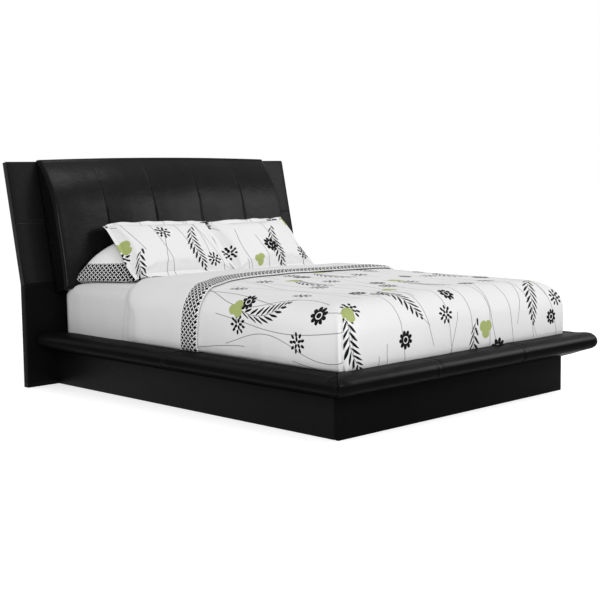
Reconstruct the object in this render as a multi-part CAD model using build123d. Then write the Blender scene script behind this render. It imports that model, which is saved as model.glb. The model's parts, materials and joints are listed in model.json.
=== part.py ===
"""Upholstered platform bed with a raked headboard, a padded ledge, a plinth and its bedding.

Millimetres. +Z is up, +Y points to the headboard and the origin lies on the floor at the
middle of the bed's footprint. Distances called "out" run outwards from the plinth's outer
face. Distances called "ahead" run from the headboard's lower front face to the foot.
"""
from build123d import *
from math import cos, radians, sin, tan
import os

# ---------------------------------------------------------------- mattress (queen, 60 x 80 in)
mattress_width = 1524.0
mattress_length = 2032.0
mattress_height = 266.0
mattress_corner_radius = 60.0
mattress_edge_radius = 45.0
relief_clearance = 5.0              # mattress below and in front of the padded panel
relief_run = 45.0
relief_head_radius = 30.0
relief_step_radius = 25.0

# ---------------------------------------------------------------- plinth and rails
plinth_height = 178.0
panel_thickness = 25.0
deck_height = 264.0                 # top of the slats
mattress_side_gap = 9.0             # mattress to the ledge
mattress_head_gap = 10.0
mattress_foot_gap = 3.0
rail_thickness = 28.0
rail_height = 150.0
rail_top_drop = 2.0                 # rail top below the top of the slats
corner_block_size = 45.0
corner_block_height = 120.0

# ---------------------------------------------------------------- padded ledge
ledge_overhang = 140.0              # nose of the ledge beyond the plinth
ledge_inner_top = 277.0
ledge_outer_top = 288.0
ledge_nose_bottom = 228.0
ledge_lower_radius = 20.0
ledge_upper_radius = 30.0
ledge_corner_radius = 75.0          # nose, seen from above
ledge_board_thickness = 15.0
ledge_board_reach = 112.0
ledge_top_padding = 19.0            # at the inner edge
ledge_cover_thickness = 8.0
rib_thickness = 18.0
rib_count_side = 5
rib_count_foot = 4
rib_end_distance = 60.0
rib_corner_distance = 110.0

# ---------------------------------------------------------------- slats and centre support
slat_width = 70.0
slat_thickness = 20.0
slat_count = 13
slat_end_gap = 3.0
slat_first = 45.0                   # first and last slat centre to the ends of the deck
ledger_width = 25.0
ledger_height = 40.0
ledger_bracket_gap = 5.0            # ledger to the head bracket
beam_width = 40.0
beam_height = 60.0
saddle_thickness = 2.5
saddle_height = 32.0
saddle_depth = 45.0
leg_size = 40.0
leg_count = 3
glide_radius = 17.0
glide_thickness = 6.0

# ---------------------------------------------------------------- headboard
headboard_width = 1954.0
headboard_height = 1171.0           # front edge of the top
headboard_thickness = 40.0
kink_height = 538.0
rake_angle = 12.1                   # upper part leans back from the vertical
cover_thickness = 4.0
post_width = 60.0
stud_width = 60.0
stud_spacing = 640.0
cross_rail_depth = 20.0
bottom_rail_height = 60.0
kink_rail_height = 70.0
kink_rail_rise = 5.0                # above the kink, along the rake
top_rail_height = 60.0

# ---------------------------------------------------------------- padded panel on the headboard
pad_width = 1600.0
pad_drop = 55.0                     # below the kink, along the rake
pad_rise = 4.0                      # above the headboard's top edge
pad_bottom_thickness = 108.0
pad_full_thickness = 118.0
pad_top_thickness = 24.0
pad_flat_length = 395.0             # flat part of the face, along the rake
pad_edge_radius = 22.0
pad_wrap = 12.0                     # cover beyond the edge of the panel board
panel_board_thickness = 15.0

# ---------------------------------------------------------------- fixings
bolt_radius = 4.0
bolt_head_radius = 7.0
bolt_head_height = 5.0
nut_radius = 7.5
nut_height = 6.5
screw_radius = 2.5
screw_head_radius = 4.5
screw_head_height = 2.5
screw_length = 38.0
hole_clearance = 0.2
bracket_thickness = 3.0
bracket_leg = 60.0
bracket_height = 110.0
bracket_rise = 10.0                 # above the bottom of the rails
bracket_bolt_spacing = 55.0
panel_bolt_spacing = 560.0
panel_bolt_end = 3.0                # bolt's end short of the front of the panel board
rail_screw_count = 4
rail_screw_distance = 240.0         # first and last screw to the ends of the rail
foot_screw_spacing = 500.0
corner_screw_rise = 35.0            # above and below the middle of the corner block
corner_screw_rise_foot = 15.0
corner_screw_bite = 20.0            # into the rail
slat_screw_bite = 18.0              # into the ledger

# ---------------------------------------------------------------- bedding
sheet_thickness = 1.5
cloth_clearance = 0.3
duvet_side_thickness = 22.0
duvet_foot_thickness = 47.0
duvet_edge_loft = 30.0              # above the mattress at the sides
duvet_crown = 17.0                  # extra height along the middle
duvet_side_radius = 60.0
duvet_foot_radius = 110.0
duvet_corner_radius = 65.0
duvet_head_distance = 620.0
hem_width = 102.0
hem_ahead_left = 1048.0             # where the turned-down sheet's hem starts
hem_ahead_middle = 830.0
hem_ahead_right = 900.0
hem_reach = 20.0                    # ends of the hem line beyond the plinth
pillow_width = 690.0
pillow_height = 285.0
pillow_thickness = 92.0
pillow_corner_radius = 60.0
soft_edge_share = 0.42              # edge radius of a pillow or sham, of its thickness
sham_width = 708.0
sham_height = 430.0
sham_thickness = 104.0
sham_flange = 34.0
sham_flange_thickness = 5.0
sham_flange_radius = 12.0
sham_corner_radius = 40.0
sham_tilt = 44.0                    # from the horizontal
sham_gap = 6.0
sham_shift = 88.0                   # the pair lies towards the right side

# ---------------------------------------------------------------- cutting shapes
far = 5000.0                        # beyond the whole bed
cut_margin = 1.0                    # how far a hole passes beyond its screw

# ---------------------------------------------------------------- derived places
rake = radians(rake_angle)
rake_length = (headboard_height - kink_height) / cos(rake)
mitre_slope = tan(rake / 2)
plinth_half_width = mattress_width / 2 + mattress_side_gap + panel_thickness
plinth_length = mattress_head_gap + mattress_length + mattress_foot_gap + panel_thickness
board_depth = rake_length * sin(rake) + headboard_thickness * cos(rake)
face_y = (plinth_length + ledge_overhang - board_depth) / 2
rail_top = deck_height - rail_top_drop
rail_bottom = rail_top - rail_height
rail_outer = plinth_half_width - panel_thickness
rail_inner = rail_outer - rail_thickness
foot_outer = plinth_length - panel_thickness
foot_inner = foot_outer - rail_thickness
slat_bottom = deck_height - slat_thickness
beam_bottom = slat_bottom - beam_height
mattress_top = deck_height + mattress_height
board_top = ledge_inner_top - ledge_top_padding
board_bottom = board_top - ledge_board_thickness
frame_back = headboard_thickness - cover_thickness
fitted_outer = cloth_clearance + sheet_thickness
flat_inner = fitted_outer + cloth_clearance
flat_outer = flat_inner + sheet_thickness
bracket_bottom = rail_bottom + bracket_rise
bracket_middle = bracket_bottom + bracket_height / 2
head_bolt_grip = bracket_thickness + cover_thickness + cross_rail_depth
ledger_start = bracket_leg + ledger_bracket_gap
ledger_end = foot_inner - corner_block_size
corner_screw_length = corner_block_size + corner_screw_bite
slat_screw_length = slat_thickness + slat_screw_bite - screw_head_height
bed_top = mattress_top + fitted_outer + cloth_clearance
duvet_half = mattress_width / 2 + flat_outer + cloth_clearance + duvet_side_thickness
low = (Align.CENTER, Align.CENTER, Align.MIN)


def y_at(ahead):
    """Y of a place that lies so far ahead of the headboard's lower front face."""
    return face_y - ahead


def block(x0, x1, ahead0, ahead1, z0, z1):
    """Box between two x values, two distances ahead and two heights."""
    centre = Pos((x0 + x1) / 2, y_at((ahead0 + ahead1) / 2), (z0 + z1) / 2)
    return centre * Box(abs(x1 - x0), abs(ahead1 - ahead0), z1 - z0)


def rounded_face(points, radii):
    """Closed outline through the points, with a radius at each point (0 for a sharp one)."""
    face = make_face(Polyline(*points, close=True))
    for point, radius in zip(points, radii):
        if radius:
            corner = face.vertices().sort_by_distance(Vector(*point))[0]
            face = fillet(corner, radius)
    return face


def side_prism(points, radii, x0, x1):
    """Outline of (ahead, z) points, extruded along X from x0 to x1."""
    face = rounded_face([(y_at(ahead), z) for ahead, z in points], radii)
    return Pos(x0, 0, 0) * extrude(Plane.YZ * face, amount=x1 - x0)


def screw(x, ahead, z, direction, length=screw_length):
    """Wood screw whose head starts at the point and whose shank runs along the direction."""
    place = Plane(origin=(x, y_at(ahead), z), z_dir=direction)
    head = Pos(0, 0, -screw_head_height) * Cylinder(screw_head_radius, screw_head_height, align=low)
    shank = Cylinder(screw_radius, length, align=low)
    return place * (head + shank)


def drill(piece, x, ahead, z, direction, length, radius):
    """Piece with a straight hole that starts at the point."""
    place = Plane(origin=(x, y_at(ahead), z), z_dir=direction)
    return piece - place * Cylinder(radius + hole_clearance, length + cut_margin, align=low)


# ================================================================ headboard
def raked(x0, x1, s0, s1, t0, t1):
    """Box on the raked face: s runs up the rake from the kink, t out of the face."""
    plane = Plane(origin=(0, face_y, kink_height), x_dir=(1, 0, 0), z_dir=(0, -cos(rake), sin(rake)))
    centre = Pos((x0 + x1) / 2, (s0 + s1) / 2, (t0 + t1) / 2)
    return plane * centre * Box(x1 - x0, s1 - s0, t1 - t0)


def raked_point(s, t):
    """(ahead, z) of a point s up the rake and t out of the raked face."""
    return (t * cos(rake) - s * sin(rake), kink_height + s * cos(rake) + t * sin(rake))


def lower_slab(front, back, x0, x1, bottom=0.0):
    """Layer of the upright part, from depth front to depth back behind the face."""
    points = [(-front, bottom), (-front, kink_height - front * mitre_slope),
              (-back, kink_height - back * mitre_slope), (-back, bottom)]
    return side_prism(points, [0] * 4, x0, x1)


def upper_slab(front, back, x0, x1, top_drop=0.0):
    """Layer of the raked part, from depth front to depth back behind the face."""
    top = rake_length - top_drop
    points = [(-front, kink_height - front * mitre_slope), raked_point(top, -front),
              raked_point(top, -back), (-back, kink_height - back * mitre_slope)]
    return side_prism(points, [0] * 4, x0, x1)


def kinked_slab(front, back, x0, x1, top_drop=0.0):
    """Layer of the whole headboard, upright part and raked part."""
    return lower_slab(front, back, x0, x1) + upper_slab(front, back, x0, x1, top_drop)


def headboard_frame():
    """Posts, studs and cross rails."""
    inside = headboard_width / 2 - cover_thickness
    bay = inside - post_width
    rail_back = cover_thickness + cross_rail_depth
    post = kinked_slab(cover_thickness, frame_back, bay, inside, cover_thickness)
    stud = kinked_slab(rail_back, frame_back, 0, stud_width, cover_thickness)
    pieces = {
        "headboard_right_post": post,
        "headboard_left_post": mirror(post, Plane.YZ),
        "headboard_right_stud": Pos((stud_spacing - stud_width) / 2, 0, 0) * stud,
        "headboard_left_stud": Pos(-(stud_spacing + stud_width) / 2, 0, 0) * stud,
        "headboard_bottom_rail": block(-bay, bay, -cover_thickness, -rail_back, 0, bottom_rail_height),
        "headboard_fixing_rail": block(-bay, bay, -cover_thickness, -rail_back, rail_bottom, rail_top),
        "headboard_kink_rail": raked(-bay, bay, kink_rail_rise, kink_rail_rise + kink_rail_height,
                                     -rail_back, -cover_thickness),
        "headboard_top_rail": raked(-bay, bay, rake_length - cover_thickness - top_rail_height,
                                    rake_length - cover_thickness, -rail_back, -cover_thickness),
    }
    return pieces


def headboard_covers():
    """Leather over thin foam: lower front, upper front with a top flap, and the back."""
    half = headboard_width / 2
    inside = half - cover_thickness
    lower = lower_slab(0, headboard_thickness, -half, half)
    lower -= lower_slab(cover_thickness, headboard_thickness, -inside, inside)
    upper = upper_slab(0, headboard_thickness, -half, half)
    upper -= upper_slab(cover_thickness, headboard_thickness, -inside, inside, cover_thickness)
    lower_back = lower_slab(frame_back, headboard_thickness, -inside, inside)
    upper_back = upper_slab(frame_back, headboard_thickness, -inside, inside, cover_thickness)
    return {"headboard_lower_cover": lower, "headboard_upper_cover": upper,
            "headboard_lower_back": lower_back, "headboard_upper_back": upper_back}


def padded_panel():
    """Panel board and the foam and leather pad that wraps it."""
    top = rake_length + pad_rise
    start = -pad_drop
    flat_end = start + pad_flat_length
    middle = (flat_end + top) / 2
    drop = pad_full_thickness - pad_top_thickness
    outline = [
        Polyline(raked_point(top, pad_top_thickness), raked_point(top, 0), raked_point(start, 0),
                 raked_point(start, pad_bottom_thickness), raked_point(flat_end, pad_full_thickness)),
        ThreePointArc(raked_point(flat_end, pad_full_thickness),
                      raked_point(middle, pad_full_thickness - drop / 4),
                      raked_point(top, pad_top_thickness)),
    ]
    flipped = mirror(make_face(outline), Plane.YZ)
    profile = Pos(face_y, 0, 0) * flipped
    pad = extrude(Plane.YZ * profile, amount=pad_width / 2, both=True)
    front_edges = pad.edges().filter_by(Axis.X).sort_by(Axis.Y)[0:1]
    pad = fillet(front_edges, pad_edge_radius)
    half = pad_width / 2 - pad_wrap
    board = raked(-half, half, start + pad_wrap, rake_length - pad_wrap, 0, panel_board_thickness)
    return {"panel_board": board, "headboard_pad": pad - board}


def panel_bolt_places():
    """(x, s) of the bolts that hold the panel board to the kink rail and the top rail."""
    rows = (kink_rail_rise + kink_rail_height / 2, rake_length - cover_thickness - top_rail_height / 2)
    return [(x, s) for s in rows for x in (-panel_bolt_spacing, 0.0, panel_bolt_spacing)]


def panel_bolt(x, s, radius, head):
    """Bolt from the back of a cross rail into the panel board, or the hole for it."""
    back = -(cover_thickness + cross_rail_depth)
    plane = Plane(origin=(0, face_y, kink_height), x_dir=(1, 0, 0), z_dir=(0, -cos(rake), sin(rake)))
    reach = panel_board_thickness - panel_bolt_end - back
    shape = Pos(x, s, back) * Cylinder(radius, reach, align=low)
    if head:
        shape += Pos(x, s, back - bolt_head_height) * Cylinder(bolt_head_radius, bolt_head_height, align=low)
    return plane * shape


# ================================================================ ledge
def ledge_outline():
    """Outline of the padded ledge as (out, z) points and radii."""
    points = [(-panel_thickness, plinth_height), (0, plinth_height), (ledge_overhang, ledge_nose_bottom),
              (ledge_overhang, ledge_outer_top), (-panel_thickness, ledge_inner_top)]
    return points, [0, 0, ledge_lower_radius, ledge_upper_radius, 0]


def under_slope(out):
    """Height of the ledge's inner underside at a distance out, above its cover."""
    rise = (ledge_nose_bottom - plinth_height) / ledge_overhang
    return plinth_height + ledge_cover_thickness + rise * out


def ledge_top_at(out):
    """Height of the ledge's top at a distance out."""
    slope = (ledge_outer_top - ledge_inner_top) / (ledge_overhang + panel_thickness)
    return ledge_inner_top + slope * (out + panel_thickness)


def core_outline():
    """Outline of the space inside the pad that the board and the ribs fill."""
    return [(-panel_thickness, plinth_height), (0, plinth_height), (0, under_slope(0)),
            (ledge_board_reach, under_slope(ledge_board_reach)), (ledge_board_reach, board_top),
            (-panel_thickness, board_top)]


def rib_outline():
    """Outline of a rib: the core below the board."""
    return core_outline()[:4] + [(ledge_board_reach, board_bottom), (-panel_thickness, board_bottom)]


def along_side(face, ahead0, ahead1):
    """(out, z) face swept along the right side between two distances ahead."""
    return Pos(plinth_half_width, y_at(ahead0), 0) * extrude(Plane.XZ * face, amount=ahead1 - ahead0)


def along_foot(face, x0, x1):
    """(out, z) face swept along the foot between two x values."""
    plane = Plane(origin=(x0, y_at(plinth_length), 0), x_dir=(0, -1, 0), z_dir=(-1, 0, 0))
    return extrude(plane * face, amount=-(x1 - x0))


def ledge_quarter(face):
    """Right half of the ledge with this section: side, rounded corner and half of the foot."""
    centre_out = ledge_overhang - ledge_corner_radius
    side = along_side(face, 0, plinth_length + centre_out)
    foot = along_foot(face, 0, plinth_half_width + centre_out)
    cut = Pos(centre_out + far / 2, 0) * Rectangle(far, far)
    outer = face & cut
    start = Pos(plinth_half_width, y_at(plinth_length + centre_out), 0)
    pivot = Axis((plinth_half_width + centre_out, y_at(plinth_length + centre_out), 0), (0, 0, -1))
    corner = revolve(start * (Plane.XZ * outer), axis=pivot, revolution_arc=90)
    return side, corner, foot


def corner_wedge(side):
    """Large prism on the side's or the foot's part of the right-hand mitre."""
    x = plinth_half_width
    y = y_at(plinth_length)
    outside = (x + far, y - far)
    inside = (x - far, y + far)
    third = (x + far, y + far) if side else (x - far, y - far)
    return extrude(make_face(Polyline(inside, outside, third, close=True)), amount=far)


def ledge_run(face):
    """Section carried round the bed: returns the right, left and foot pieces, mitred."""
    side, corner, foot = ledge_quarter(face)
    right = (side + corner) & corner_wedge(True)
    half_foot = (foot + corner) & corner_wedge(False)
    return right, mirror(right, Plane.YZ), half_foot + mirror(half_foot, Plane.YZ)


def ledges():
    """Boards, ribs and pads of the three ledges."""
    points, radii = ledge_outline()
    core = make_face(Polyline(*core_outline(), close=True))
    pad_face = rounded_face(points, radii) - core
    board_face = Pos((ledge_board_reach - panel_thickness) / 2, board_top - ledge_board_thickness / 2) \
        * Rectangle(ledge_board_reach + panel_thickness, ledge_board_thickness)
    rib_face = make_face(Polyline(*rib_outline(), close=True))
    pieces = {}
    for label, face in (("board", board_face), ("pad", pad_face)):
        right, left, foot = ledge_run(face)
        pieces["right_ledge_" + label] = right
        pieces["left_ledge_" + label] = left
        pieces["foot_ledge_" + label] = foot
    span = plinth_length - rib_corner_distance - rib_end_distance
    ribs = []
    for index in range(rib_count_side):
        ahead = rib_end_distance + span * index / (rib_count_side - 1)
        ribs.append(along_side(rib_face, ahead - rib_thickness / 2, ahead + rib_thickness / 2))
    pieces["right_ledge_ribs"] = ribs
    pieces["left_ledge_ribs"] = [mirror(rib, Plane.YZ) for rib in ribs]
    reach = plinth_half_width - rib_corner_distance
    places = [-reach + 2 * reach * index / (rib_count_foot - 1) for index in range(rib_count_foot)]
    pieces["foot_ledge_ribs"] = [along_foot(rib_face, x - rib_thickness / 2, x + rib_thickness / 2)
                                 for x in places]
    return pieces


# ================================================================ base
def base():
    """Plinth panels, rails, corner blocks, ledgers, slats, beam, saddles, legs and glides."""
    half = plinth_half_width
    pieces = {
        "right_plinth_panel": block(rail_outer, half, 0, foot_outer, 0, plinth_height),
        "left_plinth_panel": block(-half, -rail_outer, 0, foot_outer, 0, plinth_height),
        "foot_plinth_panel": block(-half, half, foot_outer, plinth_length, 0, plinth_height),
        "right_side_rail": block(rail_inner, rail_outer, 0, foot_outer, rail_bottom, rail_top),
        "left_side_rail": block(-rail_outer, -rail_inner, 0, foot_outer, rail_bottom, rail_top),
        "foot_rail": block(-rail_inner, rail_inner, foot_inner, foot_outer, rail_bottom, rail_top),
    }
    ledger_inner = rail_inner - ledger_width
    block_inner = rail_inner - corner_block_size
    for side, sign in (("right", 1), ("left", -1)):
        pieces[side + "_slat_ledger"] = block(sign * ledger_inner, sign * rail_inner, ledger_start,
                                              ledger_end, slat_bottom - ledger_height, slat_bottom)
        pieces[side + "_corner_block"] = block(sign * block_inner, sign * rail_inner, ledger_end, foot_inner,
                                               slat_bottom - corner_block_height, slat_bottom)
    pieces["slats"] = [slat(index) for index in range(slat_count)]
    pieces["centre_beam"] = block(-beam_width / 2, beam_width / 2, saddle_thickness,
                                  foot_inner - saddle_thickness, beam_bottom, slat_bottom)
    pieces["head_saddle"] = saddle(0, 1)
    pieces["foot_saddle"] = saddle(foot_inner, -1)
    for index in range(leg_count):
        ahead = foot_inner * (index + 1) / (leg_count + 1)
        pieces["centre_leg_%d" % (index + 1)] = block(-leg_size / 2, leg_size / 2, ahead - leg_size / 2,
                                                      ahead + leg_size / 2, glide_thickness, beam_bottom)
    pieces["leg_glides"] = [glide(foot_inner * (index + 1) / (leg_count + 1)) for index in range(leg_count)]
    return pieces


def slat_ahead(index):
    """Distance ahead of a slat's centre line."""
    span = foot_inner - 2 * slat_first
    return slat_first + span * index / (slat_count - 1)


def slat(index):
    """One slat across the bed."""
    end = rail_inner - slat_end_gap
    ahead = slat_ahead(index)
    return block(-end, end, ahead - slat_width / 2, ahead + slat_width / 2, slat_bottom, deck_height)


def saddle(ahead, sign):
    """Steel saddle that holds an end of the centre beam; sign points into the bed."""
    inner = beam_width / 2
    outer = inner + saddle_thickness
    low = beam_bottom - saddle_thickness
    shape = block(-outer, outer, ahead, ahead + sign * saddle_thickness, low, beam_bottom + saddle_height)
    shape += block(-outer, outer, ahead, ahead + sign * saddle_depth, low, beam_bottom)
    for side in (-1, 1):
        shape += block(side * inner, side * outer, ahead, ahead + sign * saddle_depth, low,
                       beam_bottom + saddle_height)
    return shape


def glide(ahead):
    """Round plastic glide under a centre leg."""
    return Pos(0, y_at(ahead), glide_thickness / 2) * Cylinder(glide_radius, glide_thickness)


# ================================================================ fixings
def head_brackets():
    """Steel angles between the side rails and the headboard."""
    top = bracket_bottom + bracket_height
    inner = rail_inner - bracket_leg
    right = block(rail_inner - bracket_thickness, rail_inner, 0, bracket_leg, bracket_bottom, top)
    right += block(inner, rail_inner, 0, bracket_thickness, bracket_bottom, top)
    return {"right_head_bracket": right, "left_head_bracket": mirror(right, Plane.YZ)}


def head_bolt_places():
    """(x, z) of the bolts through the brackets and the fixing rail."""
    x = rail_inner - bracket_leg / 2 - bracket_thickness
    heights = (bracket_middle - bracket_bolt_spacing / 2, bracket_middle + bracket_bolt_spacing / 2)
    return [(side * x, z) for side in (-1, 1) for z in heights]


def head_bolt(x, z):
    """Bolt with its nut behind the fixing rail."""
    place = Plane(origin=(x, y_at(bracket_thickness), z), z_dir=(0, 1, 0))
    shape = Pos(0, 0, -bolt_head_height) * Cylinder(bolt_head_radius, bolt_head_height, align=low)
    shape += Cylinder(bolt_radius, head_bolt_grip + nut_height, align=low)
    shape += Pos(0, 0, head_bolt_grip) * Cylinder(nut_radius, nut_height, align=low)
    return place * shape


def rail_screw_places():
    """Screws from the rails into the plinth panels: (x, ahead, z, direction)."""
    z = (rail_bottom + plinth_height) / 2
    pitch = (foot_inner - 2 * rail_screw_distance) / (rail_screw_count - 1)
    rows = [rail_screw_distance + pitch * index for index in range(rail_screw_count)]
    places = [(side * rail_inner, ahead, z, (side, 0, 0)) for side in (-1, 1) for ahead in rows]
    places += [(x, foot_inner, z, (0, -1, 0)) for x in (-foot_screw_spacing, 0.0, foot_screw_spacing)]
    return places


def corner_screw_places():
    """Screws from the corner blocks into the side rails and the foot rail."""
    block_inner = rail_inner - corner_block_size
    middle = slat_bottom - corner_block_height / 2
    places = []
    for side in (-1, 1):
        for z in (middle - corner_screw_rise, middle + corner_screw_rise):
            places.append((side * block_inner, foot_inner - corner_block_size / 2, z, (side, 0, 0)))
        for z in (middle - corner_screw_rise_foot, middle + corner_screw_rise_foot):
            places.append((side * (rail_inner - corner_block_size / 2), ledger_end, z, (0, -1, 0)))
    return places


def slat_screw_places():
    """Screws down through the ends of the slats into the ledgers."""
    x = rail_inner - ledger_width / 2
    first = ledger_start + screw_head_radius
    last = ledger_end - screw_head_radius
    rows = [slat_ahead(index) for index in range(slat_count) if first < slat_ahead(index) < last]
    return [(side * x, ahead) for side in (-1, 1) for ahead in rows]


def add_fixings(pieces):
    """Add the bolts and screws, and drill what they pass through."""
    pieces.update(head_brackets())
    pieces["head_bolts"] = [head_bolt(x, z) for x, z in head_bolt_places()]
    for x, z in head_bolt_places():
        side = "right" if x > 0 else "left"
        for name in (side + "_head_bracket", "headboard_lower_cover", "headboard_fixing_rail"):
            hole = (x, bracket_thickness, z, (0, 1, 0), head_bolt_grip, bolt_radius)
            pieces[name] = drill(pieces[name], *hole)
    pieces["panel_bolts"] = [panel_bolt(x, s, bolt_radius, True) for x, s in panel_bolt_places()]
    for x, s in panel_bolt_places():
        hole = panel_bolt(x, s, bolt_radius + hole_clearance, False)
        for name in ("headboard_kink_rail", "headboard_top_rail", "headboard_upper_cover", "panel_board"):
            pieces[name] = pieces[name] - hole
    pieces["rail_screws"] = [screw(*place) for place in rail_screw_places()]
    for x, ahead, z, direction in rail_screw_places():
        side = "foot" if direction[0] == 0 else ("right" if x > 0 else "left")
        rail = "foot_rail" if side == "foot" else side + "_side_rail"
        for name in (rail, side + "_plinth_panel"):
            pieces[name] = drill(pieces[name], x, ahead, z, direction, screw_length, screw_radius)
    pieces["corner_screws"] = [screw(*place, corner_screw_length) for place in corner_screw_places()]
    for x, ahead, z, direction in corner_screw_places():
        side = "right" if x > 0 else "left"
        target = "foot_rail" if direction[0] == 0 else side + "_side_rail"
        for name in (side + "_corner_block", target):
            pieces[name] = drill(pieces[name], x, ahead, z, direction, corner_screw_length, screw_radius)
    pieces["slat_screws"] = [screw(x, ahead, deck_height - screw_head_height, (0, 0, -1), slat_screw_length)
                             for x, ahead in slat_screw_places()]
    drill_slats(pieces)


def drill_slats(pieces):
    """Countersunk holes in the slats and pilot holes in the ledgers."""
    recess = deck_height - screw_head_height
    down = (0, 0, -1)
    rows = {round(slat_ahead(index), 3): index for index in range(slat_count)}
    for x, ahead in slat_screw_places():
        index = rows[round(ahead, 3)]
        ledger = "right_slat_ledger" if x > 0 else "left_slat_ledger"
        sink = Pos(x, y_at(ahead), recess) * Cylinder(screw_head_radius + hole_clearance,
                                                      screw_head_height + cut_margin, align=low)
        slat_piece = drill(pieces["slats"][index], x, ahead, recess, down, slat_screw_length, screw_radius)
        pieces["slats"][index] = slat_piece - sink
        pieces[ledger] = drill(pieces[ledger], x, ahead, recess, down, slat_screw_length, screw_radius)


# ================================================================ bedding
def mattress_block(grow, bottom=deck_height):
    """Mattress shape grown by a distance on its sides and top, down to a bottom."""
    half = mattress_width / 2 + grow
    length = mattress_length + 2 * grow
    middle = y_at(mattress_head_gap + mattress_length / 2)
    top = mattress_top + grow
    plan_face = RectangleRounded(2 * half, length, mattress_corner_radius + grow)
    plan = Pos(0, middle, bottom) * extrude(plan_face, amount=far)
    across_points = [(-half, bottom), (half, bottom), (half, top), (-half, top)]
    edge = mattress_edge_radius + grow
    across_face = rounded_face(across_points, [0, 0, edge, edge])
    across = extrude(Plane.XZ * across_face, amount=far, both=True)
    shelf_back = raked_point(-pad_drop, 0)
    shelf_front = raked_point(-pad_drop, pad_bottom_thickness)
    head = mattress_head_gap - grow
    foot = mattress_head_gap + mattress_length + grow
    step = shelf_front[0] + relief_clearance - grow
    step_height = shelf_front[1] - relief_clearance + grow
    head_height = shelf_back[1] - relief_clearance + grow
    along_points = [(head, bottom), (head, head_height), (step, step_height),
                    (step + relief_run, top), (foot, top), (foot, bottom)]
    along_radii = [0, relief_head_radius + grow, relief_step_radius, relief_head_radius + grow, edge, 0]
    return plan & across & side_prism(along_points, along_radii, -far, far)


def duvet_block(grow):
    """Outer shape of the duvet grown by a distance, from the headboard to the foot."""
    half = duvet_half + grow
    foot = mattress_head_gap + mattress_length + duvet_foot_thickness + flat_outer + grow
    bottom = duvet_bottom()
    edge = mattress_top + flat_outer + duvet_edge_loft + grow
    crown = edge + duvet_crown
    plan_face = RectangleRounded(2 * half, 2 * foot, duvet_corner_radius + grow)
    plan = Pos(0, y_at(0), bottom) * extrude(plan_face, amount=far)
    outline = [Polyline((half, edge), (half, bottom), (-half, bottom), (-half, edge)),
               ThreePointArc((-half, edge), (0, crown), (half, edge))]
    across_face = make_face(outline)
    for side in (-1, 1):
        corner = across_face.vertices().sort_by_distance(Vector(side * half, edge))[0]
        across_face = fillet(corner, duvet_side_radius + grow)
    across = extrude(Plane.XZ * across_face, amount=far, both=True)
    along_points = [(0, bottom), (0, crown), (foot, crown), (foot, bottom)]
    along = side_prism(along_points, [0, 0, duvet_foot_radius + grow, 0], -far, far)
    return plan & along & across


def duvet_bottom():
    """Height at which the duvet's edge rests on the ledge, or on the rails if they stand higher."""
    out = mattress_head_gap + mattress_length + duvet_foot_thickness + flat_outer - plinth_length
    return max(ledge_top_at(out), rail_top) + 2 * cloth_clearance


def beyond_hem(shift):
    """Everything on the foot side of the turned-down sheet's hem line, moved by a shift."""
    half = plinth_half_width + hem_reach
    line = ThreePointArc((-half, y_at(hem_ahead_left + shift)), (0, y_at(hem_ahead_middle + shift)),
                         (half, y_at(hem_ahead_right + shift)))
    sides = Polyline(line @ 1, (half, -far), (-half, -far), line @ 0)
    return extrude(make_face([line, sides]), amount=far)


def from_head_edge(shift):
    """Everything on the foot side of the duvet's head edge, moved by a shift."""
    return block(-far, far, duvet_head_distance + shift, far, 0, far)


def bed_linen():
    """Fitted sheet, flat sheet turned down over the duvet, its hem, and the duvet."""
    mattress = mattress_block(0)
    fitted = mattress_block(fitted_outer) - mattress_block(cloth_clearance)
    under = mattress_block(flat_outer, 0)
    duvet = (duvet_block(0) & from_head_edge(0)) - mattress_block(flat_outer + cloth_clearance, 0)
    wrap = sheet_thickness + cloth_clearance
    outer = duvet_block(wrap) & from_head_edge(-wrap)
    cavity = (duvet_block(cloth_clearance) & from_head_edge(-cloth_clearance)) - under
    turned = outer - mattress_block(flat_inner, 0)
    sheet = turned - cavity - (beyond_hem(0) & (outer - under))
    hem = (outer - duvet_block(cloth_clearance)) & beyond_hem(0) - beyond_hem(hem_width)
    return {"mattress": mattress, "fitted_sheet": fitted, "duvet": duvet,
            "flat_sheet": sheet, "sheet_hem": hem}


def soft_block(width, height, thickness, corner_radius):
    """Plain closed pillow shape, lying in the XY plane."""
    body = extrude(RectangleRounded(width, height, corner_radius), amount=thickness / 2, both=True)
    rims = body.faces().sort_by(Axis.Z)[0].edges() + body.faces().sort_by(Axis.Z)[-1].edges()
    return fillet(rims, thickness * soft_edge_share)


def leaning(ahead, z, tilt):
    """Plane of a pillow that leans on the headboard at a tilt from the horizontal."""
    angle = radians(tilt)
    return Plane(origin=(0, y_at(ahead), z), x_dir=(1, 0, 0), z_dir=(0, -sin(angle), cos(angle)))


def pillow_place():
    """(ahead, z) of a pillow that lies on the sheet and leans on the padded panel."""
    angle = radians(sham_tilt)
    radius = pillow_thickness * soft_edge_share
    straight = pillow_height / 2 - radius
    flat = pillow_thickness / 2 - radius
    z = bed_top + straight * sin(angle) + flat * cos(angle) + radius
    edge_z = z + straight * sin(angle) - flat * cos(angle)
    edge_out = pad_full_thickness + cloth_clearance + radius
    edge_ahead = (edge_out - (edge_z - kink_height) * sin(rake)) / cos(rake)
    return edge_ahead + straight * cos(angle) + flat * sin(angle), z


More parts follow.
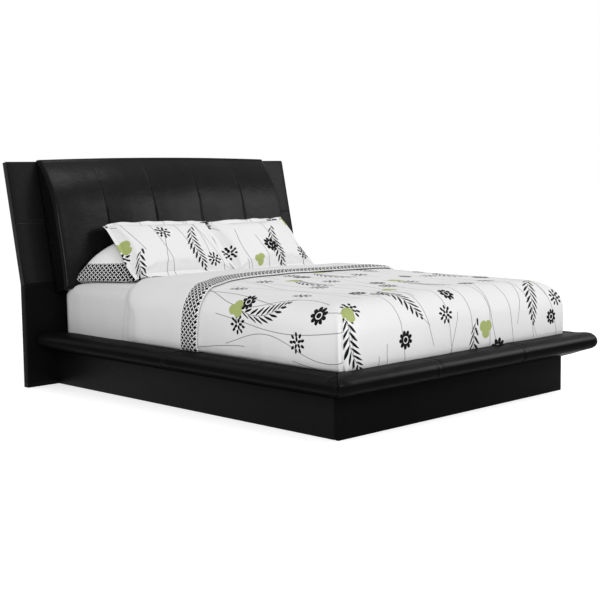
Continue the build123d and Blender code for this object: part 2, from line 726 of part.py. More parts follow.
def pillows():
    """Two shams that lie on two pillows."""
    angle = radians(sham_tilt)
    pillow_ahead, pillow_z = pillow_place()
    pillow = leaning(pillow_ahead, pillow_z, sham_tilt) * soft_block(
        pillow_width, pillow_height, pillow_thickness, pillow_corner_radius)
    between = (sham_thickness + pillow_thickness) / 2 + cloth_clearance
    sham_z = bed_top + sham_height / 2 * sin(angle) + sham_flange_thickness / 2 * cos(angle)
    sham_ahead = pillow_ahead + between / sin(angle) - (sham_z - pillow_z) / tan(angle)
    body = soft_block(sham_width - 2 * sham_flange, sham_height - 2 * sham_flange, sham_thickness,
                      sham_corner_radius)
    flange = extrude(RectangleRounded(sham_width, sham_height, sham_flange_radius),
                     amount=sham_flange_thickness / 2, both=True)
    sham = leaning(sham_ahead, sham_z, sham_tilt) * (body + flange)
    step = (sham_width + sham_gap) / 2
    return {
        "left_sham": Pos(sham_shift - step, 0, 0) * sham,
        "right_sham": Pos(sham_shift + step, 0, 0) * sham,
        "left_pillow": Pos(-step, 0, 0) * pillow,
        "right_pillow": Pos(step, 0, 0) * pillow,
    }


def build():
    """Every node of the bed by name."""
    pieces = {}
    pieces.update(headboard_frame())
    pieces.update(headboard_covers())
    pieces.update(padded_panel())
    pieces.update(ledges())
    pieces.update(base())
    add_fixings(pieces)
    pieces.update(bed_linen())
    pieces.update(pillows())
    return pieces


os.makedirs("parts", exist_ok=True)
for node, shape in build().items():
    solids = shape if isinstance(shape, list) else [shape]
    group = [solid for item in solids for solid in item.solids()]
    export_step(group[0] if len(group) == 1 else Compound(children=group), "parts/" + node + ".step")
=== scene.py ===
"""Dresses an upholstered platform bed: leather, timber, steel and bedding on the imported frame.

Everything is in metres. +Z is up, +Y points to the headboard and -X is the left side. A distance
"ahead" runs from the headboard's lower front face to the foot. On the raked headboard, s runs up
the rake from the kink and t runs out of the face.
"""

import json
import logging
import math
from dataclasses import dataclass, replace
from enum import Enum
from typing import Callable, Iterable, Optional, Sequence, Union

import bmesh
import bpy
import numpy as np
from bpy.types import Material, Mesh, Node, NodeSocket, NodeTree, Object
from mathutils import Matrix, Vector


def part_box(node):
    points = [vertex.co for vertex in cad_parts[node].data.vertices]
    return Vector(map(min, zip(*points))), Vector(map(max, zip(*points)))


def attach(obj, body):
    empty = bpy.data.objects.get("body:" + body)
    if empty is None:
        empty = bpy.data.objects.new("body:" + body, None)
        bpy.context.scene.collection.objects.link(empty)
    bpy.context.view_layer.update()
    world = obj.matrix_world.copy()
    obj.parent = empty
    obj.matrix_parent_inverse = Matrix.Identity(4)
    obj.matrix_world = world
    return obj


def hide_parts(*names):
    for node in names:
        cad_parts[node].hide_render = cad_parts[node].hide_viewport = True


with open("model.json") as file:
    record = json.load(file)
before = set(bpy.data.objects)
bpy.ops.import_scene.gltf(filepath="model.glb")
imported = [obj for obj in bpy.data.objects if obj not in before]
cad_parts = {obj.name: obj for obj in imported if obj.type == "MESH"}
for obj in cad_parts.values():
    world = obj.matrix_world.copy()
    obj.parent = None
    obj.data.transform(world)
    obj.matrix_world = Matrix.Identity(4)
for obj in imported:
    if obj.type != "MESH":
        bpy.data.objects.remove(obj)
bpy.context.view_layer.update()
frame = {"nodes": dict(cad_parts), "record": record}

log = logging.getLogger("bed")
BODY = "root"
CHART = "Cloth"
RAKE_STEPS = 20
NO_AREA = 1e-12
STITCH_LIFT = 0.0002
Array = np.ndarray
Numbers = Union[float, Array]
Pair = tuple[float, float]
Triple = tuple[float, float, float]


class Slot(str, Enum):
    """Material slots of the record."""

    LEATHER = "black_leather"
    BACKING = "backing_cloth"
    PINE = "pine"
    PLYWOOD = "plywood"
    BLACK_STEEL = "black_steel"
    ZINC_STEEL = "zinc_steel"
    GLIDE = "glide_plastic"
    TICKING = "mattress_ticking"
    SHEET = "white_sheet"
    LATTICE = "lattice_hem"
    PRINT = "printed_cotton"
    PILLOWCASE = "pillowcase"


class Side(Enum):
    """The two long sides of the bed; the value is the sign of X."""

    LEFT = -1
    RIGHT = 1


# ---- places
@dataclass(frozen=True)
class Places:
    """Places that the frame gives, in metres."""

    face_y: float
    half: float
    length: float
    plinth_top: float
    kink: float
    rake: float
    rake_length: float
    board_half: float
    board_depth: float
    deck: float

    @classmethod
    def from_frame(cls) -> "Places":
        """Reads the places from the boxes of the CAD nodes.

        Returns:
            The places.
        """
        foot_low, foot_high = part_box("foot_plinth_panel")
        lower_low, lower_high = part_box("headboard_lower_cover")
        upper_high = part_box("headboard_upper_cover")[1]
        depth = lower_high.y - lower_low.y
        rise = upper_high.z - lower_high.z
        back = upper_high.y - lower_low.y
        rake = 0.0
        for _ in range(RAKE_STEPS):
            rake = math.atan((back - depth * math.cos(rake)) / rise)
        return cls(
            face_y=lower_low.y,
            half=-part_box("left_plinth_panel")[0].x,
            length=lower_low.y - foot_low.y,
            plinth_top=foot_high.z,
            kink=lower_high.z,
            rake=rake,
            rake_length=rise / math.cos(rake),
            board_half=lower_high.x,
            board_depth=depth,
            deck=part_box("slats")[1].z,
        )

    def at(self, x: Numbers, ahead: Numbers, z: Numbers) -> Array:
        """Points to the right of the middle, ahead of the headboard and above the floor."""
        return paired(x, self.face_y - ahead, z).astype(float)

    def raked(self, x: Numbers, s: Numbers, t: Numbers) -> Array:
        """Points to the right of the middle, up the raked headboard and out of its face."""
        ahead = t * math.cos(self.rake) - s * math.sin(self.rake)
        return self.at(x, ahead, self.kink + s * math.cos(self.rake) + t * math.sin(self.rake))


# ---- shapes
def ease(x: Numbers, low: float, high: float) -> Array:
    """Smooth step from 0 at low to 1 at high."""
    share = np.clip((np.asarray(x, float) - low) / (high - low), 0.0, 1.0)
    return share * share * (3.0 - 2.0 * share)


def dip(distance: Numbers, width: float) -> Array:
    """Bell of height 1 on a seam line, with a given half width."""
    return np.exp(-((np.asarray(distance, float) / width) ** 2))


def paired(*parts: Numbers) -> Array:
    """Numbers side by side on a new last axis."""
    return np.stack(np.broadcast_arrays(*parts), axis=-1)


def quarter_turn(count: int) -> Array:
    """Angles from nothing to a quarter turn."""
    return np.linspace(0.0, math.pi / 2, count)


def crowded(count: int, bend: float = 1.25) -> Array:
    """Shares from -1 to 1, closer together at both ends."""
    return np.sin(np.linspace(-1.0, 1.0, count) * bend) / math.sin(bend)


def stations(start: float, end: float, pitch: float, seams: Iterable[float] = (), fine: float = 0.0025,
             reach: float = 0.014) -> Array:
    """Places along a run, closer together beside seams.

    Args:
        start: First place.
        end: Last place.
        pitch: Usual distance between places.
        seams: Places that need a fine mesh.
        fine: Distance between places beside a seam.
        reach: How far the fine stretch runs to each side of a seam.

    Returns:
        The places in order.
    """
    places = list(np.linspace(start, end, max(2, int(round((end - start) / pitch)) + 1)))
    for seam in seams:
        places = [p for p in places if abs(p - seam) > reach]
        places += list(np.arange(seam - reach, seam + reach + fine / 2, fine))
    return np.array(sorted({round(p, 6) for p in places if start - 1e-9 <= p <= end + 1e-9}))


class Ripple:
    """Smooth noise on a plane, the same at each run."""

    def __init__(self, seed: int, cells: int = 97) -> None:
        """Draws a lattice of random heights, which repeats after a number of cells."""
        self.cells = cells
        self.table = np.random.default_rng(seed).uniform(-1.0, 1.0, (cells, cells))

    def __call__(self, u: Numbers, v: Numbers, size_u: float, size_v: float) -> Array:
        """Noise between -1 and 1.

        Args:
            u: First coordinate.
            v: Second coordinate.
            size_u: Size of a bump along the first coordinate.
            size_v: Size of a bump along the second coordinate.

        Returns:
            The noise.
        """
        a, b = np.broadcast_arrays(np.asarray(u, float) / size_u, np.asarray(v, float) / size_v)
        i, j = np.floor(a).astype(int), np.floor(b).astype(int)
        f, g = ease(a - i, 0.0, 1.0), ease(b - j, 0.0, 1.0)
        rows = []
        for row in (i % self.cells, (i + 1) % self.cells):
            near, far = self.table[row, j % self.cells], self.table[row, (j + 1) % self.cells]
            rows.append(near * (1 - g) + far * g)
        return rows[0] * (1 - f) + rows[1] * f


@dataclass
class Grid:
    """Rows and columns of points, with a flat chart of the cloth or leather they show."""

    points: Array
    chart: Array
    ring: bool = False
    second_chart: Optional[Array] = None
    second_columns: Optional[slice] = None

    def pushed(self, direction: Array, amount: Numbers) -> "Grid":
        """The grid with each point moved along its direction."""
        return replace(self, points=self.points + direction * np.asarray(amount)[..., None])

    def build(self, name: str, flip: bool = False) -> Object:
        """Makes the mesh object.

        Args:
            name: Name of the object.
            flip: Whether the faces are turned round.

        Returns:
            The object, with the chart as its UV map.
        """
        number = numbered(self.points.shape)
        if self.ring:
            number = np.concatenate([number, number[:, :1]], axis=1)
        faces = corners_of(number)
        charts = self.chart.reshape(-1, 2)[faces]
        if self.second_chart is not None:
            second = faces[:, self.second_columns]
            charts[:, self.second_columns] = self.second_chart.reshape(-1, 2)[second]
        step = -1 if flip else 1
        return mesh_object(name, self.points, faces[..., ::step], charts[:, :, ::step])


def numbered(shape: Sequence[int], first: int = 0) -> Array:
    """Running numbers in rows and columns."""
    return first + np.arange(shape[0] * shape[1]).reshape(shape[:2])


def corners_of(sheet: Array) -> Array:
    """What a sheet holds at the four corners of each of its quads, on a new third axis."""
    return np.stack([sheet[:-1, :-1], sheet[:-1, 1:], sheet[1:, 1:], sheet[1:, :-1]], axis=2)


def mesh_object(name: str, points: Array, faces: Array, charts: Array) -> Object:
    """Mesh object of quads.

    Args:
        name: Name of the object.
        points: Its points.
        faces: Point numbers of the four corners of each quad.
        charts: Place of each of those corners in the flat chart.

    Returns:
        The object, with the chart as its UV map.
    """
    mesh = bpy.data.meshes.new(name)
    mesh.from_pydata(points.reshape(-1, 3).tolist(), [], faces.reshape(-1, 4).tolist())
    layer = mesh.uv_layers.new(name=CHART)
    layer.data.foreach_set("uv", charts.reshape(-1).astype(np.float32))
    return link(mesh)


def link(mesh: Mesh) -> Object:
    """New object of a mesh, in the scene, at the origin.

    Args:
        mesh: The mesh.

    Returns:
        The object.
    """
    obj = bpy.data.objects.new(mesh.name, mesh)
    bpy.context.scene.collection.objects.link(obj)
    return obj


def weld(obj: Object, distance: float = 1e-5, close: bool = False) -> None:
    """Merges points that lie together and can close what is open.

    Args:
        obj: Mesh object.
        distance: Distance within which points merge.
        close: Whether open loops are filled and the faces turned outwards.
    """
    shape = bmesh.new()
    shape.from_mesh(obj.data)
    bmesh.ops.remove_doubles(shape, verts=shape.verts, dist=distance)
    flat = [face for face in shape.faces if face.calc_area() < NO_AREA]
    bmesh.ops.delete(shape, geom=flat, context="FACES_ONLY")
    if close:
        open_edges = [edge for edge in shape.edges if edge.is_boundary]
        bmesh.ops.holes_fill(shape, edges=open_edges, sides=0)
        bmesh.ops.recalc_face_normals(shape, faces=shape.faces)
    shape.to_mesh(obj.data)
    shape.free()


def shaped(obj: Object, kind: str, **settings: object) -> None:
    """Runs a modifier on an object's mesh.

    Args:
        obj: Mesh object.
        kind: Type of the modifier.
        settings: Its settings.
    """
    modifier = obj.modifiers.new("shape", kind)
    for key, value in settings.items():
        setattr(modifier, key, value)
    freeze(obj)


def thicken(obj: Object, thickness: float) -> None:
    """Gives an open skin, whose faces point outwards, a wall on its inner side."""
    shaped(obj, "SOLIDIFY", thickness=thickness, offset=-1.0)


def freeze(obj: Object) -> None:
    """Turns an object's modifiers into its mesh and removes them.

    Args:
        obj: Mesh object.
    """
    graph = bpy.context.evaluated_depsgraph_get()
    made = bpy.data.meshes.new_from_object(obj.evaluated_get(graph), depsgraph=graph)
    obj.modifiers.clear()
    old = obj.data
    made.name = obj.name
    obj.data = made
    bpy.data.meshes.remove(old)


def hand_over(obj: Object, look: Material, slot: Slot,
              *replaced: str) -> Object:
    """Finishes a piece: material, smooth faces and body, and hides the nodes that it stands for.

    Args:
        obj: The piece.
        look: Its material.
        slot: Not used.
        replaced: CAD nodes that it stands for.

    Returns:
        The piece.
    """
    obj.data.materials.clear()
    obj.data.materials.append(look)
    obj.data.shade_smooth()
    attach(obj, BODY)
    if replaced:
        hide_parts(*replaced)
    log.info("%s: %d faces, for %s", obj.name, len(obj.data.polygons), ", ".join(replaced) or "itself")
    return obj


# ---- shader maths
Number = Union["Value", float]
Input = Union["Value", NodeSocket, float, Sequence[float]]


def operator(name: str, reflected: bool = False) -> Callable[..., "Value"]:
    """Operator of Value that adds a Math node.

    Args:
        name: Name of the node's operation.
        reflected: Whether the value is the last input, not the first.

    Returns:
        The operator.
    """
    def apply(self: "Value", *others: Number) -> "Value":
        """Adds the node."""
        numbers = (*others, self) if reflected else (self, *others)
        return self.nodes.math(name, *numbers)
    return apply


class Value:
    """A number of a node tree. The usual operators on it add Math nodes; | and & take the larger and
    the smaller one."""

    def __init__(self, nodes: "Nodes", socket: NodeSocket) -> None:
        """Wraps a socket of a tree."""
        self.nodes = nodes
        self.socket = socket

    __add__ = __radd__ = operator("ADD")
    __sub__ = operator("SUBTRACT")
    __rsub__ = operator("SUBTRACT", reflected=True)
    __mul__ = __rmul__ = operator("MULTIPLY")
    __truediv__ = operator("DIVIDE")
    __rtruediv__ = operator("DIVIDE", reflected=True)
    __pow__ = operator("POWER")
    __lt__ = operator("LESS_THAN")
    __gt__ = operator("GREATER_THAN")
    __or__ = operator("MAXIMUM")
    __and__ = operator("MINIMUM")
    __abs__ = operator("ABSOLUTE")
    floor = operator("FLOOR")
    fraction = operator("FRACT")
    sine = operator("SINE")
    cosine = operator("COSINE")
    turn_to = operator("ARCTAN2")


class Nodes:
    """A node tree while it is being made."""

    def __init__(self, tree: NodeTree) -> None:
        """Empties the tree."""
        self.tree = tree
        tree.nodes.clear()

    def node(self, kind: str, settings: Optional[dict] = None,
             inputs: Optional[dict] = None) -> Node:
        """Adds a node.

        Args:
            kind: Type of the node.
            settings: Properties to set first.
            inputs: Values or links by the socket's name or number.

        Returns:
            The node.
        """
        made = self.tree.nodes.new(kind)
        for key, value in (settings or {}).items():
            setattr(made, key, value)
        for key, value in (inputs or {}).items():
            source = value.socket if isinstance(value, Value) else value
            if isinstance(source, NodeSocket):
                self.tree.links.new(source, made.inputs[key])
            else:
                made.inputs[key].default_value = source
        return made

    def value(self, kind: str, settings: Optional[dict] = None, inputs: Optional[dict] = None,
              output: Union[int, str] = 0) -> Value:
        """Adds a node and gives one of its outputs as a value."""
        return Value(self, self.node(kind, settings, inputs).outputs[output])

    def math(self, operation: str, *numbers: Number) -> Value:
        """Result of a Math node."""
        return self.value("ShaderNodeMath", {"operation": operation}, dict(enumerate(numbers)))


class Shade(Nodes):
    """A material and the node tree that makes it."""

    def __init__(self, name: str) -> None:
        """Makes an empty material."""
        self.material = bpy.data.materials.new(name)
        self.material.use_nodes = True
        super().__init__(self.material.node_tree)

    def object_place(self) -> NodeSocket:
        """Place on the object, in metres."""
        return self.node("ShaderNodeTexCoord").outputs["Object"]

    def chart(self) -> tuple[Value, Value]:
        """The two coordinates of the cloth's flat chart, in metres."""
        place = self.node("ShaderNodeUVMap", {"uv_map": CHART}).outputs[0]
        parts = self.node("ShaderNodeSeparateXYZ", inputs={0: place}).outputs
        return Value(self, parts[0]), Value(self, parts[1])

    def vector(self, x: Number, y: Number, z: Number = 0.0) -> NodeSocket:
        """Vector of three numbers."""
        return self.node("ShaderNodeCombineXYZ", inputs={0: x, 1: y, 2: z}).outputs[0]

    def noise(self, place: NodeSocket, scale: float, detail: float = 3.0,
              roughness: float = 0.5) -> Value:
        """Noise between 0 and 1: bumps in a metre, levels of finer noise and their weight."""
        return self.value("ShaderNodeTexNoise", inputs={
            "Vector": place, "Scale": scale, "Detail": detail, "Roughness": roughness})

    def stretched(self, place: NodeSocket, scale: Sequence[float]) -> NodeSocket:
        """Coordinates stretched along the axes."""
        return self.node("ShaderNodeMapping", inputs={"Vector": place, "Scale": scale}).outputs[0]

    def ramp(self, value: Value, low: float, high: float, start: float = 0.0, end: float = 1.0) -> Value:
        """Value carried smoothly from low and high to start and end, and clamped."""
        return self.value("ShaderNodeMapRange", {"interpolation_type": "SMOOTHSTEP"}, {
            0: value, 1: low, 2: high, 3: start, 4: end})

    def mix(self, share: Number, first: Input, second: Input) -> NodeSocket:
        """Colour between two colours, by the share of the second."""
        return self.node("ShaderNodeMix", {"data_type": "RGBA"}, {0: share, 6: first, 7: second}).outputs[2]

    def bump(self, height: Value, distance: float, strength: float = 1.0,
             over: Optional[NodeSocket] = None) -> NodeSocket:
        """Normal from a height, whose 1 stands for a distance in metres, added to another normal."""
        under = {"Normal": over} if over else {}
        return self.node("ShaderNodeBump", inputs={
            "Height": height, "Distance": distance, "Strength": strength, **under}).outputs[0]

    def finish(self, **inputs: Input) -> Material:
        """Ends the tree in a Principled shader.

        Args:
            inputs: Its inputs, with an underscore for each space.

        Returns:
            The material.
        """
        named = {key.replace("_", " "): value for key, value in inputs.items()}
        shader = self.node("ShaderNodeBsdfPrincipled", inputs=named)
        self.node("ShaderNodeOutputMaterial", inputs={0: shader.outputs[0]})
        return self.material


def colour(red: float, green: float, blue: float) -> tuple[float, float, float, float]:
    """Opaque colour."""
    return (red, green, blue, 1.0)


def grey(tone: float, blue: float = 1.0) -> tuple[float, float, float, float]:
    """Opaque grey, with its blue made a little stronger or weaker."""
    return (tone, tone, tone * blue, 1.0)


# ---- finishes
@dataclass(frozen=True)
class Leather:
    """Black upholstery leather: pebbled grain, soft creases and a satin gloss."""

    name: str = "black_leather"
    deep: float = 0.0030
    worn: float = 0.0052
    gloss: float = 0.31
    shine: float = 0.05
    grain: float = 420.0
    mottle: float = 5.0
    crease: float = 28.0
    uneven: Triple = (0.10, 0.16, 0.10)

    def sunken(self, shade: Shade) -> Number:
        """Roughness that is added along seams; none on plain leather."""
        return 0.0

    def painted_reflection(self, shade: Shade) -> Number:
        """Weight of the coat that paints reflections; none on plain leather."""
        return 0.0

    def material(self) -> Material:
        """Builds the material."""
        shade = Shade(self.name)
        place = shade.object_place()
        cloud = shade.noise(place, self.mottle, 3.0)
        crease = shade.noise(shade.stretched(place, (1.0, 1.0, 2.2)), self.crease, 5.0, 0.62)
        pebble = shade.value("ShaderNodeTexVoronoi", {"feature": "SMOOTH_F1"}, {
            "Vector": place, "Scale": self.grain, "Smoothness": 0.6}, "Distance")
        base = shade.mix(cloud, grey(self.deep, 1.02), grey(self.worn, 1.03))
        by_cloud, by_crease, by_pebble = self.uneven
        rough = (cloud - 0.5) * by_cloud + (crease - 0.5) * by_crease + pebble * by_pebble + self.gloss
        rough = rough + self.sunken(shade)
        normal = shade.bump(pebble, 0.0004, 0.30, shade.bump(crease, 0.0016, 0.55))
        # The coat's weight comes from the finish: painted reflection where a finish varies it.
        return shade.finish(Base_Color=base, Roughness=rough, Specular_IOR_Level=self.shine, Normal=normal,
                            Coat_Weight=self.painted_reflection(shade), Coat_Roughness=self.gloss)


@dataclass(frozen=True)
class LedgeLeather(Leather):
    """Leather of the ledge, with a painted highlight on top and on the upper half of the nose and painted
    shade where it turns under, both painted through the coat's weight.
    """

    shine: float = 0.005
    # Painted highlight: coat weight on top, at the nose's edge and on the underside; between turn and beyond
    # the coat is gone, painted shade where the nose turns under.
    upper: float = 0.13
    edge: float = 0.17
    under: float = 0.03
    rise: Pair = (0.1217, 0.1564)
    turn: Pair = (0.1706, 0.1781)
    beyond: Pair = (0.1881, 0.2023)
    away: Pair = (0.2100, 0.2296)

    def painted_reflection(self, shade: Shade) -> Number:
        """Weight of the coat that paints the highlight and the shade band, by the place round the ledge's
        outline.

        Args:
            shade: The shade it is built in.

        Returns:
            The weight.
        """
        v = shade.chart()[1]
        above = shade.ramp(v, *self.rise, self.upper, self.edge) * shade.ramp(v, *self.turn, 1.0, 0.0)
        return above + shade.ramp(v, *self.beyond, 0.0, self.under) * shade.ramp(v, *self.away, 1.0, 0.0)


@dataclass(frozen=True)
class PanelLeather(Leather):
    """Leather whose channel seams lie in shadow below the stitched part."""

    first: float = -0.478
    pitch: float = 0.3265
    count: int = 4
    stitched_from: float = 0.40

    def sunken(self, shade: Shade) -> Number:
        """Roughness that is added along the seams.

        Args:
            shade: The shade it is built in.

        Returns:
            The roughness.
        """
        u, v = shade.chart()
        lane = (u - self.first) / self.pitch + 0.5
        near = abs(lane.fraction() - 0.5) * self.pitch
        inside = (lane > 0.0) & (lane < float(self.count))
        line = shade.ramp(near, 0.0035, 0.0080, 0.65, 0.0)
        return line * inside * shade.ramp(v, self.stitched_from - 0.06, self.stitched_from, 1.0, 0.0)


@dataclass(frozen=True)
class Cotton:
    """Woven cotton: fine threads and soft creases."""

    name: str
    shade_of_white: float = 0.77
    crease: float = 0.0060
    sheen: float = 0.05
    shine: float = 0.07
    rough: float = 0.88
    threads: float = 5200.0

    def weave(self, shade: Shade) -> NodeSocket:
        """Normal of the threads over the creases.

        Args:
            shade: The shade it is built in.

        Returns:
            The normal.
        """
        u, v = shade.chart()
        thread = (u * self.threads).sine() * (v * self.threads).sine() * 0.5 + 0.5
        rumple = shade.noise(shade.object_place(), 7.0, 4.0, 0.55)
        return shade.bump(thread, 0.00015, 0.25, shade.bump(rumple, self.crease, 0.5))

    def white(self, shade: Shade) -> NodeSocket:
        """Colour of the cloth, a little uneven."""
        cloud = shade.noise(shade.object_place(), 3.0, 2.0)
        return shade.mix(cloud, grey(self.shade_of_white * 0.985), grey(self.shade_of_white * 1.01))

    def dyed(self, shade: Shade, base: NodeSocket) -> Material:
        """Ends a shade as cloth of a colour."""
        return shade.finish(Base_Color=base, Roughness=self.rough, Specular_IOR_Level=self.shine,
                            Sheen_Weight=self.sheen, Normal=self.weave(shade))

    def material(self) -> Material:
        """Builds the material of the plain cloth."""
        shade = Shade(self.name)
        return self.dyed(shade, self.white(shade))


@dataclass(frozen=True)
class LatticeCotton(Cotton):
    """Cotton with a band of black and white lattice, woven over and under."""

    pitch: float = 0.0265
    strand: float = 0.155
    rim: float = 0.165
    band: Pair = (-10.0, 0.0990)
    ink: float = 0.004

    def lattice(self, u: Value, v: Value) -> Value:
        """1 where the ground shows between white strands and along their rims.

        Args:
            u: First coordinate of the chart.
            v: Second coordinate of the chart.

        Returns:
            The mask.
        """
        a = (u + v) / self.pitch
        b = (u - v) / self.pitch
        across_a = abs(a.fraction() - 0.5)
        across_b = abs(b.fraction() - 0.5)
        over = ((a.floor() + b.floor()) * 0.5).fraction() > 0.25
        strand_a, strand_b = across_a < self.strand, across_b < self.strand
        clear_a, clear_b = across_a > self.strand + self.rim, across_b > self.strand + self.rim
        upper = strand_a | (strand_b & clear_a)
        lower = strand_b | (strand_a & clear_b)
        return 1.0 - (upper * over + lower * (1.0 - over))

    def material(self) -> Material:
        """Builds the material, lattice between two values of the chart's first coordinate."""
        shade = Shade(self.name)
        u, v = shade.chart()
        band = (u > self.band[0]) & (u < self.band[1])
        ink = self.lattice(u, v) & band
        return self.dyed(shade, shade.mix(ink, self.white(shade), grey(self.ink, 1.125)))


@dataclass(frozen=True)
class Spot:
    """Place in a net's cell: its coordinates from the motif's middle and two random numbers of the cell.

    Its methods give 1 where a motif lies.
    """

    x: Value
    y: Value
    one: Value
    two: Value

    def reach(self) -> Value:
        """Distance from the middle."""
        return (self.x * self.x + self.y * self.y) ** 0.5

    def blossom(self, radius: Number, petals: int, eye: float) -> Value:
        """A round blossom with a bare ring about its eye.

        Args:
            radius: Its radius.
            petals: How many petals.
            eye: Radius of the bare ring, as a share of its radius.

        Returns:
            The mask.
        """
        reach = self.reach()
        lobe = abs((self.y.turn_to(self.x) * (petals / 2.0)).cosine()) ** 0.55
        petal = reach < (lobe * 0.45 + 0.55) * radius
        return petal & (abs(reach / radius - eye) > 0.055)

    def seeds(self, radius: float, number: int, wide: float = 0.0066, high: float = 0.0110) -> Value:
        """A ring of oval seeds.

        Args:
            radius: Radius of the ring.
            number: How many seeds.
            wide: Half the width of a seed.
            high: Half the length of a seed.

        Returns:
            The mask.
        """
        reach = self.reach()
        turn = (self.y.turn_to(self.x) * (number / math.tau)).fraction() - 0.5
        across = reach * (turn * (math.tau / number)).sine() / wide
        out = (reach - radius) / high
        return (across * across + out * out) < 1.0

    def frond(self, length: float, leaf: float, pitch: float, axis: float = 0.0011) -> Value:
        """A frond: paired almond leaves along a bent axis.

        Args:
            length: Length of the frond.
            leaf: Length of its longest leaves.
            pitch: Distance between leaves.
            axis: Half the width of the axis.

        Returns:
            The mask.
        """
        y = self.y
        x = self.x - y * y * (0.9 / length)
        root = y - abs(x) * 1.20 + (x > 0.0) * (pitch / 2)
        along = root / length + 0.5
        reach = (1.0 - (along * 1.9 - 0.75) ** 2.0) * leaf
        share = abs(x) * 1.6 / (reach | 0.002)
        across = abs((root / pitch).fraction() - 0.5) * pitch
        blade = across < share * (1.0 - share) * (pitch * 1.15)
        inside = (along > 0.02) & (along < 0.98) & (share < 1.0)
        return (blade & inside) | ((abs(x) < axis) & (abs(y) < length / 2))


@dataclass(frozen=True)
class Net:
    """Loose net of cells, each of which may hold one motif of a print.

    Jitter is how far a motif may lie from the middle of its cell, and turn how far it may be turned.
    """

    pitch: Pair
    seed: float
    jitter: float
    turn: float = 3.1

    def spot(self, shade: Shade, u: Value, v: Value) -> Spot:
        """The place in the net's cells of a place in the chart.

        Args:
            shade: The shade it is built in.
            u: First coordinate of the chart.
            v: Second coordinate of the chart.

        Returns:
            The place.
        """
        wide, high = self.pitch
        lane = u / wide + self.seed
        column = lane.floor()
        moved = v / high + column * 0.381 + self.seed
        draw = shade.node("ShaderNodeTexWhiteNoise", {"noise_dimensions": "3D"}, {
            "Vector": shade.vector(column, moved.floor(), self.seed)})
        parts = shade.node("ShaderNodeSeparateColor", inputs={0: draw.outputs["Color"]}).outputs
        one, two, three = (Value(shade, part) for part in parts)
        x = (lane.fraction() - 0.5) * wide + (one - 0.5) * (2 * self.jitter)
        y = (moved.fraction() - 0.5) * high + (two - 0.5) * (2 * self.jitter)
        angle = (three - 0.5) * (2 * self.turn)
        cosine, sine = angle.cosine(), angle.sine()
        return Spot(x * cosine - y * sine, x * sine + y * cosine, one, two)


@dataclass(frozen=True)
class PrintedCotton(Cotton):
    """White cotton with a generic print: wavy stems, fronds, round blossoms, clover and dots."""

    rough: float = 0.86
    black: float = 0.004
    stem_grey: float = 0.10
    green: Triple = (0.37, 0.43, 0.16)
    stem_width: float = 0.0019
    stem_nets: tuple[Pair, ...] = ((0.150, 0.3), (0.235, 1.7))
    frond_net: Net = Net((0.43, 0.58), 3.3, 0.050, 0.45)
    daisy_net: Net = Net((0.35, 0.45), 11.7, 0.060)
    clover_net: Net = Net((0.47, 0.60), 23.1, 0.075)
    spray_net: Net = Net((0.27, 0.37), 31.9, 0.045)

    def stems(self, shade: Shade, u: Value, v: Value, pitch: float, seed: float) -> Value:
        """1 on thin wavy lines that run along the cloth.

        Args:
            shade: The shade it is built in.
            u: Coordinate across the lines.
            v: Coordinate along the lines.
            pitch: Usual distance between lines.
            seed: Number that tells nets apart.

        Returns:
            The mask.
        """
        lane = u / pitch + seed
        draw = shade.value("ShaderNodeTexWhiteNoise", {"noise_dimensions": "2D"}, {
            "Vector": shade.vector(lane.floor(), seed)}, "Value")
        wave = (v * (5.0 + 2.0 * seed) + draw * 20.0).sine() * 0.18 + (draw - 0.5) * 0.4
        line = abs(lane.fraction() - 0.5 - wave) < self.stem_width / pitch
        return line & ((v * 0.9 + draw * 7.0).fraction() < 0.72)

    def material(self) -> Material:
        """Builds the material."""
        shade = Shade(self.name)
        u, v = shade.chart()
        dense, sparse = (self.stems(shade, u, v, *net) for net in self.stem_nets)
        nets = (self.frond_net, self.daisy_net, self.clover_net, self.spray_net)
        frond, daisy, clover, spray = (net.spot(shade, u, v) for net in nets)
        black = frond.frond(0.34, 0.072, 0.033)
        black = black | (daisy.blossom(daisy.one * 0.024 + 0.032, 9, 0.34) * (daisy.two > 0.18))
        black = black | ((spray.seeds(0.036, 9) | spray.seeds(0.017, 5)) * (spray.two > 0.25))
        green = clover.blossom(clover.one * 0.010 + 0.038, 3, -1.0)
        cloth = shade.mix((dense | sparse) * 0.75, self.white(shade), grey(self.stem_grey))
        cloth = shade.mix(green, cloth, colour(*self.green))
        return self.dyed(shade, shade.mix(black * (1.0 - green), cloth, grey(self.black)))


@dataclass(frozen=True)
class Timber:
    """Planed softwood or sanded plywood, with grain along one axis."""

    name: str
    light: Triple
    dark: Triple
    along: Triple = (1.2, 9.0, 14.0)

    def material(self) -> Material:
        """Builds the material."""
        shade = Shade(self.name)
        place = shade.stretched(shade.object_place(), self.along)
        rings = shade.noise(place, 5.0, 6.0, 0.6)
        fibre = shade.noise(place, 60.0, 3.0)
        base = shade.mix(shade.ramp(rings, 0.35, 0.68), colour(*self.light), colour(*self.dark))
        return shade.finish(Base_Color=base, Roughness=0.62 + (fibre - 0.5) * 0.2,
                            Normal=shade.bump(fibre, 0.0004, 0.5))


@dataclass(frozen=True)
class Steel:
    """Zinc plated or powder coated steel."""

    name: str
    tone: float
    metal: float
    rough: float

    def material(self) -> Material:
        """Builds the material."""
        shade = Shade(self.name)
        speck = shade.noise(shade.object_place(), 240.0, 4.0)
        base = shade.mix(speck, grey(self.tone * 0.9), grey(self.tone * 1.1))
        rough = self.rough + (speck - 0.5) * 0.15
        return shade.finish(Base_Color=base, Metallic=self.metal, Roughness=rough,
                            Normal=shade.bump(speck, 0.0002, 0.3))


